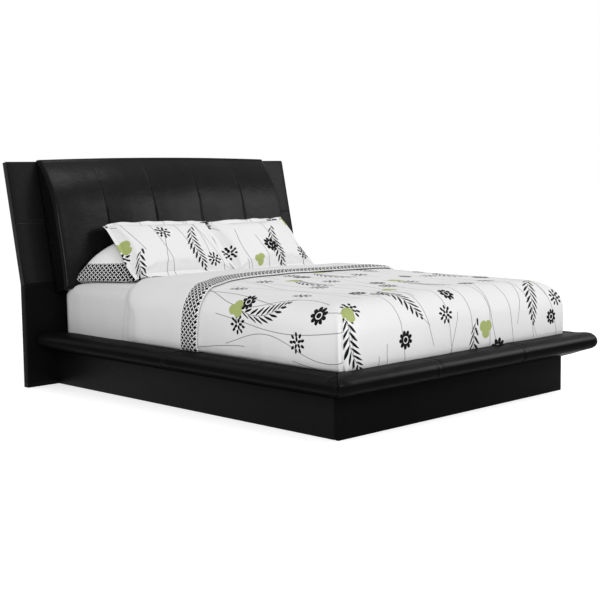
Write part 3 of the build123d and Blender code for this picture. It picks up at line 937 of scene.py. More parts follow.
@dataclass(frozen=True)
class Plain:
    """Matt woven or moulded surface for what faces the wall or the floor."""

    name: str
    tone: float
    thread: float

    def material(self) -> Material:
        """Builds the material."""
        shade = Shade(self.name)
        place = shade.object_place()
        cloud = shade.noise(place, 9.0, 3.0)
        fine = shade.noise(place, self.thread, 2.0)
        base = shade.mix(cloud, grey(self.tone * 0.8), grey(self.tone * 1.15))
        return shade.finish(Base_Color=base, Roughness=0.85, Specular_IOR_Level=0.3,
                            Normal=shade.bump(fine, 0.0005, 0.5))


class Finishes:
    """The bed's materials: one for each slot of the record, and those of single pieces."""

    def __init__(self) -> None:
        """Builds them all."""
        plain = {
            Slot.LEATHER: Leather(shine=0.03),
            Slot.BACKING: Plain("backing_cloth", 0.022, 700.0),
            Slot.PINE: Timber("pine", (0.62, 0.44, 0.26), (0.45, 0.29, 0.15)),
            Slot.PLYWOOD: Timber("plywood", (0.58, 0.42, 0.26), (0.44, 0.31, 0.18), (2.0, 2.4, 30.0)),
            Slot.BLACK_STEEL: Steel("black_steel", 0.028, 0.0, 0.5),
            Slot.ZINC_STEEL: Steel("zinc_steel", 0.60, 1.0, 0.34),
            Slot.GLIDE: Plain("glide_plastic", 0.04, 300.0),
            Slot.TICKING: Cotton("mattress_ticking", 0.78),
            Slot.SHEET: Cotton("white_sheet", 0.76),
            Slot.LATTICE: LatticeCotton("lattice_hem"),
            Slot.PRINT: PrintedCotton("printed_cotton"),
            Slot.PILLOWCASE: LatticeCotton("pillowcase", pitch=0.030, strand=0.120, rim=0.215,
                                           band=(-10.0, 0.118)),
        }
        self.by_slot = {slot: finish.material() for slot, finish in plain.items()}
        # Copies of the one black leather for single pieces, lit and shaded copies: more shine on the panel
        # and the raked wings paints their highlights.
        self.panel = PanelLeather("panel_leather", gloss=0.24, shine=0.085).material()
        self.wing = Leather("wing_leather", gloss=0.30, shine=0.090).material()
        # The foot and side ledges are copies of one ledge leather: a stronger coat on the foot run paints
        # its highlight, a weaker one on the side runs paints shade.
        self.ledge = LedgeLeather("foot_ledge_leather", gloss=0.34).material()
        # Leather copy with little shine for the panel's piping: painted shade that hides the piping's
        # highlight.
        self.piping_painted_shade = Leather("dull_leather", gloss=0.38, shine=0.011).material()
        self.side_ledge = LedgeLeather("side_ledge_leather", gloss=0.38, upper=0.010, edge=0.09).material()
        # The side plinth's leather shines more than the foot plinth's: painted reflection on the sides,
        # painted shade on the foot.
        self.plinth = Leather("plinth_leather", 0.0036, 0.0058, 0.40, 0.047).material()
        self.foot_plinth = Leather("foot_plinth_leather", 0.0036, 0.0058, 0.40, 0.009).material()
        # Greyer cotton for the fitted sheet than the flat sheet's white: painted shade from the headboard
        # and the ledge.
        self.fitted = Cotton("fitted_sheet", 0.69).material()
        # Thread lighter than the leather: partly the thread's own dark grey, partly a painted highlight so
        # the stitches read as light lines.
        self.thread = Plain("black_thread", 0.050, 900.0).material()
        self.fine_thread = Plain("fine_black_thread", 0.022, 900.0).material()

    def __getitem__(self, slot: Slot) -> Material:
        """Material of a slot."""
        return self.by_slot[slot]

    def dress_frame(self) -> None:
        """Gives each CAD node the material of its slot."""
        for entry in frame["record"]["subparts"]:
            obj = frame["nodes"][entry["node"]]
            look = self.by_slot[Slot(entry["material_slot"])]
            obj.data.materials.clear()
            obj.data.materials.append(look)


@dataclass
class Assembly:
    """Sub-assembly of the bed, in its places and finishes."""

    places: Places
    finishes: Finishes


# ---- trims
class Trim(Nodes):
    """Geometry Nodes that follow a line: stitches and piping."""

    def __init__(self, name: str, look: Material) -> None:
        """Starts a tree.

        Args:
            name: Name of the tree.
            look: Material of what it makes.
        """
        super().__init__(bpy.data.node_groups.new(name, "GeometryNodeTree"))
        self.look = look
        self.keys: dict[str, str] = {}
        for way in ("INPUT", "OUTPUT"):
            self.tree.interface.new_socket("Geometry", in_out=way, socket_type="NodeSocketGeometry")

    def line(self, **sizes: float) -> tuple[Node, NodeSocket]:
        """Adds the tree's sizes and turns what comes in into a curve.

        Args:
            sizes: Usual value of each size, in metres.

        Returns:
            The node that gives the sizes, and the curve.
        """
        for name, value in sizes.items():
            socket = self.tree.interface.new_socket(name, in_out="INPUT", socket_type="NodeSocketFloat")
            socket.default_value = value
            self.keys[name] = socket.identifier
        start = self.node("NodeGroupInput")
        return start, self.node("GeometryNodeMeshToCurve", inputs={0: start.outputs[0]}).outputs[0]

    def end(self, geometry: NodeSocket) -> None:
        """Ends the tree in Realize Instances and Set Material.

        Args:
            geometry: What the tree has made.
        """
        real = self.node("GeometryNodeRealizeInstances", inputs={0: geometry})
        dressed = self.node("GeometryNodeSetMaterial", inputs={0: real.outputs[0], "Material": self.look})
        self.node("NodeGroupOutput", inputs={0: dressed.outputs[0]})

    def run(self, name: str, lines: Sequence[Array], **sizes: float) -> Object:
        """Runs the tree along lines and hands over what it makes.

        Args:
            name: Name of the piece.
            lines: Points of each line.
            sizes: Sizes by their names in the tree.

        Returns:
            The piece, as a plain mesh.
        """
        points, edges = [], []
        for line in lines:
            start = len(points)
            points += line.tolist()
            edges += [(start + i, start + i + 1) for i in range(len(line) - 1)]
        mesh = bpy.data.meshes.new(name)
        mesh.from_pydata(points, edges, [])
        obj = link(mesh)
        modifier = obj.modifiers.new("trim", "NODES")
        modifier.node_group = self.tree
        for key, value in sizes.items():
            modifier[self.keys[key]] = value
        freeze(obj)
        return hand_over(obj, self.look, Slot.LEATHER)


class Stitches(Trim):
    """Short raised threads, one after another along a line."""

    def __init__(self, look: Material) -> None:
        """Builds the tree.

        Args:
            look: Material of the thread.
        """
        super().__init__("stitches", look)
        start, curve = self.line(pitch=0.007, length=0.0045, radius=0.0006)
        places = self.node("GeometryNodeResampleCurve", {"mode": "LENGTH"}, {
            "Curve": curve, "Length": start.outputs["pitch"]})
        thread = self.node("GeometryNodeMeshCylinder", inputs={
            "Vertices": 5, "Radius": start.outputs["radius"], "Depth": start.outputs["length"]})
        tangent = self.node("GeometryNodeInputTangent")
        turn = self.node("FunctionNodeAlignRotationToVector", {"axis": "Z"}, {"Vector": tangent.outputs[0]})
        copies = self.node("GeometryNodeInstanceOnPoints", inputs={
            "Points": places.outputs[0], "Instance": thread.outputs["Mesh"], "Rotation": turn.outputs[0]})
        self.end(copies.outputs[0])


class Piping(Trim):
    """Round leather cord along a line."""

    def __init__(self, look: Material) -> None:
        """Builds the tree.

        Args:
            look: Material of the cord.
        """
        super().__init__("piping", look)
        start, curve = self.line(radius=0.003)
        ring = self.node("GeometryNodeCurvePrimitiveCircle", inputs={
            "Resolution": 8, "Radius": start.outputs["radius"]})
        tube = self.node("GeometryNodeCurveToMesh", inputs={0: curve, 1: ring.outputs[0], "Fill Caps": True})
        smooth = self.node("GeometryNodeSetShadeSmooth", inputs={0: tube.outputs[0]})
        self.end(smooth.outputs[0])


# ---- headboard
@dataclass
class Headboard(Assembly):
    """Leather covers of the headboard: lower front, raked front with its top flap, and their seams."""

    edge: float = 0.007
    wall: float = 0.0035
    wing_seam: float = 0.325
    wing_start: float = 0.81
    seam_depth: float = 0.0022
    seam_width: float = 0.0035
    hollow: float = 0.0010
    stitch_gap: float = 0.006
    piping: float = 0.0024
    pitch: float = 0.03

    def lateral(self) -> tuple[Array, Array]:
        """Columns of a cover: x and depth t, from the left flange round the front to the right one.

        Returns:
            x and t of each column.
        """
        half, depth, r = self.places.board_half, self.places.board_depth, self.edge
        side_t = np.linspace(-depth, -r, 5)[:-1]
        angle = quarter_turn(6)
        arc_x = -half + r - r * np.cos(angle)
        arc_t = -r + r * np.sin(angle)
        front = stations(-half + r, half - r, self.pitch)[1:-1]
        x = np.concatenate([np.full(4, -half), arc_x, front, -arc_x[::-1], np.full(4, half)])
        t = np.concatenate([side_t, arc_t, np.zeros(len(front)), arc_t[::-1], side_t[::-1]])
        return x, t

    def lower(self) -> Object:
        """Front of the upright part."""
        p = self.places
        x, t = self.lateral()
        rows = stations(0.0, 1.0, 0.05, (1.0,), 0.004, 0.02)[:, None]
        z = rows * (p.kink + t * math.tan(p.rake / 2))
        roll = dip(p.kink - z, self.seam_width) * self.seam_depth
        hollow = Ripple(3)(x, z, 0.35, 0.22) * self.hollow * ease(t, -0.002, 0.0)
        obj = Grid(p.at(x, t - roll + hollow, z), paired(x - t, z)).build("headboard_lower_leather")
        thicken(obj, self.wall)
        return hand_over(obj, self.finishes[Slot.LEATHER], Slot.LEATHER, "headboard_lower_cover")

    def upper(self) -> Object:
        """Front of the raked part with its top flap."""
        p, r = self.places, self.edge
        x, t = self.lateral()
        top = p.rake_length - r
        rows = stations(0.0, top, self.pitch, (0.0, self.wing_seam), 0.0018, 0.012)[:, None]
        low = -t * math.tan(p.rake / 2)
        s = low + (top - low) * rows / top
        seam = dip(s - self.wing_seam, self.seam_width) + dip(s - low, self.seam_width)
        front = ease(t, -0.003, 0.0)
        out = t - seam * self.seam_depth * front + Ripple(5)(x, s, 0.3, 0.25) * self.hollow * front
        arc = quarter_turn(6)[1:]
        over = np.concatenate([np.sin(arc) * r, np.full(3, r)])[:, None]
        back = np.concatenate([(1 - np.cos(arc)) * r, np.linspace(r, p.board_depth, 4)[1:]])[:, None]
        cap_s = top + over + 0.0 * t
        points = p.raked(x, np.concatenate([s, cap_s]), np.concatenate([out, np.minimum(t, -back)]))
        chart = paired(x - t, np.concatenate([s, cap_s + back]))
        obj = Grid(points, chart).build("headboard_upper_leather")
        thicken(obj, self.wall)
        # The raked front takes the shinier wing copy of the leather: painted highlight.
        return hand_over(obj, self.finishes.wing, Slot.LEATHER, "headboard_upper_cover")

    def seams(self) -> list[Object]:
        """Piping on the front edges and stitches beside the wing seams."""
        p, inset = self.places, self.edge * 0.3
        z = np.linspace(0.004, p.kink - 0.004, 40)
        s = np.linspace(0.006, p.rake_length - self.edge, 40)
        edges = [side.value * (p.board_half - inset) for side in Side]
        cords = [p.at(x, -inset, z) for x in edges] + [p.raked(x, s, -inset) for x in edges]
        wing = np.linspace(self.wing_start, p.board_half - 0.012, 8)
        rows = [p.raked(wing * side.value, self.wing_seam + gap, STITCH_LIFT)
                for side in Side for gap in (-self.stitch_gap, self.stitch_gap)]
        return [Piping(self.finishes[Slot.LEATHER]).run("headboard_edge_piping", cords, radius=self.piping),
                Stitches(self.finishes.thread).run("wing_stitches", rows)]

    def build(self) -> list[Object]:
        """Builds the covers and their trim."""
        return [self.lower(), self.upper(), *self.seams()]


@dataclass
class PaddedPanel(Assembly):
    """Foam and leather panel on the raked face, sewn into five channels."""

    half: float = 0.800
    drop: float = 0.055
    rise: float = 0.004
    crown: float = 0.012
    low_thickness: float = 0.108
    thickness: float = 0.118
    flat_end: float = 0.340
    taper: float = 0.98
    edge: float = 0.022
    top_edge: float = 0.010
    seam_first: float = -0.478
    seam_pitch: float = 0.3265
    seam_count: int = 4
    seam_depth: float = 0.0036
    seam_width: float = 0.0032
    bulge: float = 0.0042
    bulge_power: float = 0.6
    flat_share: float = 0.85
    flat_range: Pair = (0.36, 0.60)
    stitched_from: float = 0.40
    stitch_gap: float = 0.0075
    piping: float = 0.0020

    def seam_places(self) -> list[float]:
        """x of each channel seam."""
        return [self.seam_first + self.seam_pitch * index for index in range(self.seam_count)]

    def fade(self, s: Array) -> Array:
        """Share of the channels' relief up the panel; they flatten towards its top."""
        return 1.0 - self.flat_share * ease(s, *self.flat_range)

    def profile(self) -> tuple[Array, Array]:
        """Rows of the pad: s and thickness, from the wall under it, up the face, to the wall above.

        Returns:
            s and thickness of each row.
        """
        start, top, r = -self.drop, self.places.rake_length + self.rise, self.edge
        angle = quarter_turn(8)
        face = stations(start + r, top - self.top_edge, 0.012)
        full = self.low_thickness + (self.thickness - self.low_thickness) * ease(face, start, 0.12)
        full = full - np.clip(face - self.flat_end, 0.0, None) ** 2 / self.taper
        under_t = np.linspace(0.0, self.low_thickness - r, 6)[:-1]
        arc_s = start + r * (1 - np.cos(angle))
        arc_t = self.low_thickness - r + r * np.sin(angle)
        top_s = top - self.top_edge + self.top_edge * np.sin(angle)
        top_t = full[-1] - self.top_edge * (1 - np.cos(angle))
        s = np.concatenate([np.full(5, start), arc_s, face[1:-1], top_s, np.full(2, top)])
        t = np.concatenate([under_t, arc_t, full[1:-1], top_t, [top_t[-1] / 2, 0.0]])
        return s, t

    def surface(self) -> Grid:
        """The leather of the panel."""
        s_row, t = (part[:, None] for part in self.profile())
        seams = self.seam_places()
        r = np.minimum(self.edge, t)
        angle = quarter_turn(8)
        side_x = np.full((len(t), 5), -self.half)
        arc_x = -self.half + r * (1 - np.cos(angle))
        wide = stations(-self.half + self.edge, self.half - self.edge, 0.016, seams, 0.002, 0.012)
        flat = wide[1:-1] / (self.half - self.edge) * (self.half - r)
        x = np.concatenate([side_x, arc_x, flat, -arc_x[:, ::-1], -side_x], axis=1)
        side_t = (t - r) * np.linspace(0.0, 1.0, 6)[:-1]
        arc_t = t - r + r * np.sin(angle)
        out = np.concatenate([side_t, arc_t, t + 0.0 * flat, arc_t[:, ::-1], side_t[:, ::-1]], axis=1)
        s = s_row + self.crown * (1 - (x / self.half) ** 2) * ease(s_row, 0.35, 0.66)
        face = ease(self.half - np.abs(x), 0.0, 0.05) * ease(out, 0.0, 0.05) * ease(s, -0.05, 0.0)
        offset = np.min([np.abs(x - seam) for seam in seams], axis=0)
        channel = np.clip(offset / (self.seam_pitch / 2), 0.0, 1.0)
        shape = self.bulge * (channel ** self.bulge_power - 1.0)
        shape = shape - self.seam_depth * dip(offset, self.seam_width)
        pucker = Ripple(11)(x, s, 0.045, 0.020) * 0.0010 * dip(offset, 0.045)
        soft = Ripple(12)(x, s, 0.17, 0.26) * 0.0022 + Ripple(13)(x, s, 0.06, 0.11) * 0.0006
        out = out + (shape * self.fade(s) + pucker + soft) * face
        return Grid(self.places.raked(x, s, out), paired(x + np.sign(x) * (t - out), s))

    def trims(self) -> list[Object]:
        """Piping on the front edges and two rows of stitches beside each seam."""
        p, inset = self.places, self.edge * 0.29
        s, t = self.profile()
        keep = (s > -self.drop + self.edge) & (s < p.rake_length - 0.012)
        s, t = s[keep], t[keep]
        cords = [p.raked(side.value * (self.half - inset), s, t - inset) for side in Side]
        upper = s > self.stitched_from
        s, t = s[upper], t[upper]
        depth = self.bulge * (1 - (self.stitch_gap / (self.seam_pitch / 2)) ** self.bulge_power)
        rows = [p.raked(seam + gap, s, t - depth * self.fade(s))
                for seam in self.seam_places() for gap in (-self.stitch_gap, self.stitch_gap)]
        # The piping takes the leather copy with little shine: painted shade.
        return [Piping(self.finishes.piping_painted_shade).run("panel_edge_piping", cords, radius=self.piping),
                Stitches(self.finishes.thread).run("panel_stitches", rows)]

    def build(self) -> list[Object]:
        """Builds the panel and its trim."""
        obj = self.surface().build("padded_panel")
        weld(obj, close=True)
        # The panel takes the shinier panel copy of the leather: painted highlight.
        pad = hand_over(obj, self.finishes.panel, Slot.LEATHER, "headboard_pad")
        return [pad, *self.trims()]


# ---- ledge and plinth
@dataclass
class Ledge(Assembly):
    """Padded shelf round the mattress, in a left, a right and a foot run that meet in mitres."""

    overhang: float = 0.140
    inner: float = -0.025
    inner_top: float = 0.277
    outer_top: float = 0.288
    crown: float = 0.0035
    upper_nose: Pair = (0.052, 0.038)
    lower_nose: Pair = (0.031, 0.029)
    corner: float = 0.075
    head_round: float = 0.030
    wall: float = 0.006
    side_seams: tuple[float, ...] = (1.089,)
    foot_seams: tuple[float, ...] = (-0.300, 0.290)
    seam_depth: float = 0.0034
    seam_width: float = 0.0050
    stitch_gap: float = 0.0075
    mesh: Triple = (0.018, 0.0025, 0.016)
    joint: Pair = (0.045, 0.010)
    joint_lift: float = 0.0010

    def profile(self) -> tuple[Array, Array, Array, Array]:
        """Outline of the leather from the mattress, over the nose, to the plinth.

        Returns:
            Distance out, height, and the outward direction of each point.
        """
        (reach, drop), (under_reach, under_drop) = self.upper_nose, self.lower_nose
        middle = self.overhang - reach
        level = np.interp(middle, (self.inner, self.overhang), (self.inner_top, self.outer_top))
        share = np.linspace(0.0, 1.0, 14)
        angle = np.radians(np.linspace(90.0, -75.0, 27))
        top = share[:-1]
        out = [self.inner + (middle - self.inner) * top,
               self.overhang - np.where(angle > 0, reach, under_reach) * (1 - np.cos(angle))]
        z = [self.inner_top + (level - self.inner_top) * top + self.crown * np.sin(np.pi * top),
             level - drop + np.where(angle > 0, drop, under_drop) * np.sin(angle)]
        out.append(out[-1][-1] * (1 - share[1:]))
        z.append(z[-1][-1] + (self.places.plinth_top - z[-1][-1]) * share[1:])
        out, z = np.concatenate(out), np.concatenate(z)
        along = paired(np.gradient(out), np.gradient(z))
        along /= np.linalg.norm(along, axis=1)[:, None]
        return out, z, -along[:, 1], along[:, 0]

    def relief(self, place: Array, ring: Array, near: Array, seed: int) -> Array:
        """How far the leather stands out: seams, puckers beside them and soft waves.

        Args:
            place: Place along the run.
            ring: Place round the outline.
            near: Distance to the nearest seam or mitre.
            seed: Seed of the waves.

        Returns:
            Offset along the outward direction.
        """
        wave = Ripple(seed)
        tight = wave(place, ring, 0.014, 0.05) * 0.0021 * dip(near, 0.045)
        soft = wave(place, ring, 0.16, 0.09) * 0.0016 + wave(place + 7.0, ring, 0.045, 0.06) * 0.0005
        return tight + soft - self.seam_depth * dip(near, self.seam_width)

    def run(self, foot: bool, seed: int) -> Grid:
        """A run of the ledge on the right side or along the foot.

        Args:
            foot: Whether it is the foot run.
            seed: Seed of the waves.

        Returns:
            The grid of the run.
        """
        p = self.places
        out, z, side_n, up_n = self.profile()
        ring = np.concatenate([[0.0], np.cumsum(np.hypot(np.diff(out), np.diff(z)))])
        centre = self.overhang - self.corner
        base, seams = (p.half, self.foot_seams) if foot else (p.length, self.side_seams)
        first, mitres = (-base, (-base, base)) if foot else (0.0, (base,))
        pitch, fine, beside = self.mesh
        straight = stations(first, base, pitch, seams + mitres, fine, beside)
        tail = base + np.minimum(out, centre)
        arm = np.clip(out - centre, 0.0, None)
        turn = np.linspace(0.0, math.pi / 4, 9)[1:, None]
        rows = (straight / straight[-1])[:, None] * tail
        place = [rows, tail + arm * np.sin(turn)]
        reach = [out + 0.0 * rows, np.minimum(out, centre) + arm * np.cos(turn)]
        lean = [0.0 * rows, np.sin(turn) + 0.0 * place[1]]
        if foot:
            place.insert(0, -place[1][::-1])
            reach.insert(0, reach[1][::-1])
            lean.insert(0, -lean[1][::-1])
        place, reach, lean = (np.concatenate(parts) for parts in (place, reach, lean))
        flat = np.sqrt(1 - lean ** 2)
        ends = np.abs(base + reach - np.abs(place)) / math.sqrt(2)
        near = np.min([ends] + [np.abs(place - seam) for seam in seams], axis=0)
        joint = ease(ring, *(ring[-1] - gap for gap in self.joint))
        push = self.relief(place, ring, near, seed) * (1 - joint) + self.joint_lift * joint
        height = z + push * up_n
        reach = reach + push * side_n * flat
        place = place + push * side_n * lean
        if foot:
            return Grid(p.at(place, p.length + reach, height), paired(place, ring))
        head = np.clip(1.0 - place / self.head_round, 0.0, 1.0) * ease(out, 0.06, 0.12)
        reach = reach - self.head_round * (1 - np.sqrt(np.clip(1 - head ** 2, 0.0, 1.0)))
        return Grid(p.at(p.half + reach, place, height), paired(place, ring))

    def build(self) -> list[Object]:
        """Builds the three runs and the stitches beside their seams."""
        made = []
        for sign in Side:
            grid = self.run(False, 21 + sign.value)
            grid.points[..., 0] *= sign.value
            obj = grid.build(f"{sign.name.lower()}_ledge_leather", flip=sign is Side.RIGHT)
            # The side runs take the ledge leather with the weaker coat: painted shade.
            made.append(self.close(obj, f"{sign.name.lower()}_ledge_pad", self.finishes.side_ledge))
        obj = self.run(True, 31).build("foot_ledge_leather", flip=True)
        # The foot run takes the ledge leather with the stronger coat: painted highlight.
        made.append(self.close(obj, "foot_ledge_pad", self.finishes.ledge))
        made.append(self.stitches())
        return made

    def close(self, obj: Object, node: str, look: Material) -> Object:
        """Gives a run its wall and hands it over.

        Args:
            obj: Skin of the run.
            node: CAD node that it stands for.
            look: Its material.

        Returns:
            The run.
        """
        weld(obj)
        thicken(obj, self.wall)
        made = hand_over(obj, look, Slot.LEATHER, node)
        return made

    def stitches(self) -> Object:
        """Two rows of stitches beside each seam across the runs."""
        p = self.places
        out, z, side_n, up_n = self.profile()
        out, z = out + side_n * STITCH_LIFT, z + up_n * STITCH_LIFT
        lines = []
        for gap in (-self.stitch_gap, self.stitch_gap):
            for seam in self.side_seams:
                lines += [p.at(sign.value * (p.half + out), seam + gap, z) for sign in Side]
            lines += [p.at(seam + gap, p.length + out, z) for seam in self.foot_seams]
        return Stitches(self.finishes.fine_thread).run("ledge_stitches", lines)


@dataclass
class Plinth(Assembly):
    """Boards wrapped in leather that stand on the floor under the ledge."""

    edge: float = 0.0060

    def board(self, node: str) -> Object:
        """A wrapped board in the place of its node.

        Args:
            node: Name of the CAD node.

        Returns:
            The board.
        """
        low, high = (np.array(corner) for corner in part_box(node))
        shape = bmesh.new()
        bmesh.ops.create_cube(shape, size=1.0)
        for vert in shape.verts:
            vert.co = Vector((low + high) / 2 + np.array(vert.co) * (high - low))
        edges = list(shape.edges)
        bmesh.ops.bevel(shape, geom=edges, offset=self.edge, segments=3, affect="EDGES", profile=0.5)
        mesh = bpy.data.meshes.new(node.replace("panel", "leather"))
        shape.to_mesh(mesh)
        shape.free()
        uv = mesh.uv_layers.new(name=CHART)
        for loop in mesh.loops:
            co = mesh.vertices[loop.vertex_index].co
            uv.data[loop.index].uv = (co.x + co.y, co.z)
        # Side and foot boards take leather copies that shine more or less: painted reflection and painted
        # shade.
        look = self.finishes.foot_plinth if node.startswith("foot") else self.finishes.plinth
        return hand_over(link(mesh), look, Slot.LEATHER, node)

    def build(self) -> list[Object]:
        """Builds the three boards."""
        return [self.board(f"{side}_plinth_panel") for side in ("left", "right", "foot")]


# ---- bedding
@dataclass(frozen=True)
class Slab:
    """Soft rounded slab seen from outside: walls, rounded top edges and a gently crowned top.

    Its skin is a ring of walls and edges, and a top patch whose rim is the ring's last row.
    """

    places: Places
    half: float
    head: float
    foot: float
    bottom: float
    top: float
    side_radius: float
    foot_radius: float
    corner: float
    crown: float = 0.0
    droop: float = 0.0
    lean: float = 0.0
    tuck: float = 0.0
    closed: bool = True
    step: float = 0.013
    columns: int = 90
    rim_corner: float = 0.035
    tuck_share: float = 0.16
    droop_range: Pair = (0.95, 2.05)
    relief: tuple[tuple[float, ...], tuple[float, ...]] = ((0.0,), (9.0,))

    def top_z(self, x: Array, ahead: Array) -> Array:
        """Height of the top.

        Args:
            x: Distance to the right.
            ahead: Distance ahead.

        Returns:
            The height.
        """
        inner = self.half - self.side_radius
        crown = self.crown * np.clip(1 - (x / inner) ** 2, 0.0, 1.0) ** 1.5
        droop = self.droop * ease(ahead, *self.droop_range)
        level = self.top + crown - self.lean * x / self.half - droop
        return np.minimum(level, np.interp(ahead, *self.relief))

    def tucked(self, wall: Array) -> Array:
        """How far the foot of the wall is tucked in, by the share of the wall's height."""
        return self.tuck * (1 - ease(wall, 0.0, self.tuck_share))

    def rings(self) -> dict[str, Array]:
        """Rows of the ring in plan, from the bottom of the wall to the rim of the top.

        Returns:
            x, distance ahead, turn, wall share, edge angle, chart runs and corner columns, by name.
        """
        wall = np.linspace(0.0, 1.0, 15)[:-1]
        share = np.concatenate([wall, np.ones(13)])[:, None]
        angle = np.concatenate([np.zeros(14), quarter_turn(13)])[:, None]
        inset = 1 - np.cos(angle)
        half = self.half - self.side_radius * inset
        foot = self.foot - self.foot_radius * inset
        radius = self.corner + self.rim_corner * inset
        head = self.head + (self.side_radius * inset + radius if self.closed else 0.0 * inset)
        side = np.linspace(0.0, 1.0, int((self.foot - self.head) / self.step))[None, :]
        end = np.linspace(-1.0, 1.0, int(2 * self.half / self.step))[None, :]
        quarter = quarter_turn(17)[None, 1:-1]
        one = np.ones_like(inset)
        arc = half - radius
        straight = head + (foot - radius - head) * side
        rows = {
            "x": [-half * np.ones_like(side), -arc - radius * np.cos(quarter), arc * end],
            "ahead": [straight, foot - radius + radius * np.sin(quarter), foot * np.ones_like(end)],
            "run": [straight, foot - radius + radius * quarter, straight[:, -1:] + 0.0 * end],
            "cross": [-arc - radius * math.pi / 2 * np.ones_like(side),
                      -arc - radius * (math.pi / 2 - quarter), arc * end],
            "turn": [0.0 * one * side, one * quarter, one * math.pi / 2 * np.ones_like(end)],
        }
        mirrored = {"x": (0.0, -1.0), "ahead": (0.0, 1.0), "run": (0.0, 1.0), "cross": (0.0, -1.0),
                    "turn": (math.pi, -1.0)}
        for key, (base, sign) in mirrored.items():
            rows[key] += [base + sign * part[:, ::-1] for part in rows[key][1::-1]]
        if self.closed:
            rows["x"] += [arc + radius * np.cos(quarter), -arc * end, -arc - radius * np.sin(quarter)]
            rows["ahead"] += [head - radius * np.sin(quarter), (head - radius) * np.ones_like(end),
                              head - radius * np.cos(quarter)]
            rows["turn"] += [math.pi + one * quarter, one * 1.5 * math.pi * np.ones_like(end),
                             1.5 * math.pi + one * quarter]
            rows["run"] += rows["ahead"][-3:]
            rows["cross"] += rows["x"][-3:]
        found = {key: np.concatenate(parts, axis=1) for key, parts in rows.items()}
        bend = quarter.size
        starts = np.cumsum([side.size, bend + end.size, bend + side.size, bend + end.size])
        corners = starts[:4 if self.closed else 2] + bend // 2
        return {**found, "share": share, "angle": angle, "corners": corners}

    def skin(self) -> tuple[list[Grid], list[Array], list[dict]]:
        """Ring and top patch of the slab.

        Returns:
            The two grids, the outward direction of their points, and what is known of each point.
        """
        rows = self.rings()
        x, ahead, turn, angle, wall = (rows[key] for key in ("x", "ahead", "turn", "angle", "share"))
        across = np.where(turn <= math.pi, np.sin(turn) ** 2, 0.0)
        r = self.side_radius + (self.foot_radius - self.side_radius) * across
        rim_z = self.top_z(x[-1:], ahead[-1:])
        height = rim_z - r - self.bottom
        z = np.where(wall < 1, self.bottom + height * wall, rim_z - r * (1 - np.sin(angle)))
        out = paired(-np.cos(turn) * np.cos(angle), -np.sin(turn) * np.cos(angle), np.sin(angle))
        fall = r * (math.pi / 2 - angle) + height * (1 - wall)
        side_u = np.where(turn > math.pi / 2, 1.0, -1.0) * (self.half - self.side_radius + fall)
        first = paired(side_u, rows["run"])
        second = paired(rows["cross"], self.foot - self.foot_radius + fall)
        plan = paired(x, ahead)
        skirt = 1 - ease(angle, 0.0, math.pi / 2)[..., None]
        first, second = plan + (first - plan) * skirt, plan + (second - plan) * skirt
        corners = rows["corners"]
        tuck = self.tucked(wall)
        points = self.places.at(x + np.cos(turn) * tuck, ahead - np.sin(turn) * tuck, z)
        ring = Grid(points, first, self.closed, second, slice(corners[0], corners[1]))
        facts = {"x": x, "ahead": ahead, "turn": turn, "fall": fall, "first": first, "second": second}
        patch = self.patch(plan[-1], corners)
        x, ahead = patch[..., 0], patch[..., 1]
        top = Grid(self.places.at(x, ahead, self.top_z(x, ahead)), patch)
        return [ring, top], [out, paired(0.0 * x, 0.0, 1.0)], [facts, {"x": x, "ahead": ahead}]

    def patch(self, rim: Array, corners: Array) -> Array:
        """Points of the top in plan, between the four sides of the rim.

        Args:
            rim: Points of the rim, in the ring's order.
            corners: Columns of the corners.

        Returns:
            Points from head to foot by left to right.
        """
        foot = rim[corners[0]:corners[1] + 1]
        if self.closed:
            left = np.concatenate([rim[corners[3]:], rim[:corners[0] + 1]])
            right = rim[corners[1]:corners[2] + 1][::-1]
            head = rim[corners[2]:corners[3] + 1][::-1]
        else:
            left, right = rim[:corners[0] + 1], rim[corners[1]:][::-1]
            part = (foot[:, 0] - foot[0, 0]) / (foot[-1, 0] - foot[0, 0])
            head = left[0] + (right[0] - left[0]) * part[:, None]
        s = ((left[:, 1] - left[0, 1]) / (left[-1, 1] - left[0, 1]))[:, None, None]
        t = ((foot[:, 0] - foot[0, 0]) / (foot[-1, 0] - foot[0, 0]))[None, :, None]
        ends = (1 - s) * head[None, :] + s * foot[None, :]
        sides = (1 - t) * left[:, None] + t * right[:, None]
        tips = (1 - s) * ((1 - t) * left[0] + t * right[0]) + s * ((1 - t) * left[-1] + t * right[-1])
        return ends + sides - tips

    def cover(self, name: str, push: Sequence[Array]) -> Object:
        """Makes the skin one mesh.

        Args:
            name: Name of the object.
            push: Offset of the points of the ring and of the top.

        Returns:
            The object.
        """
        grids, out, _ = self.skin()
        parts = [grid.pushed(way, amount).build(name if index == 0 else name + "_top", flip=index == 1)
                 for index, (grid, way, amount) in enumerate(zip(grids, out, push))]
        join(parts)
        weld(parts[0])
        return parts[0]

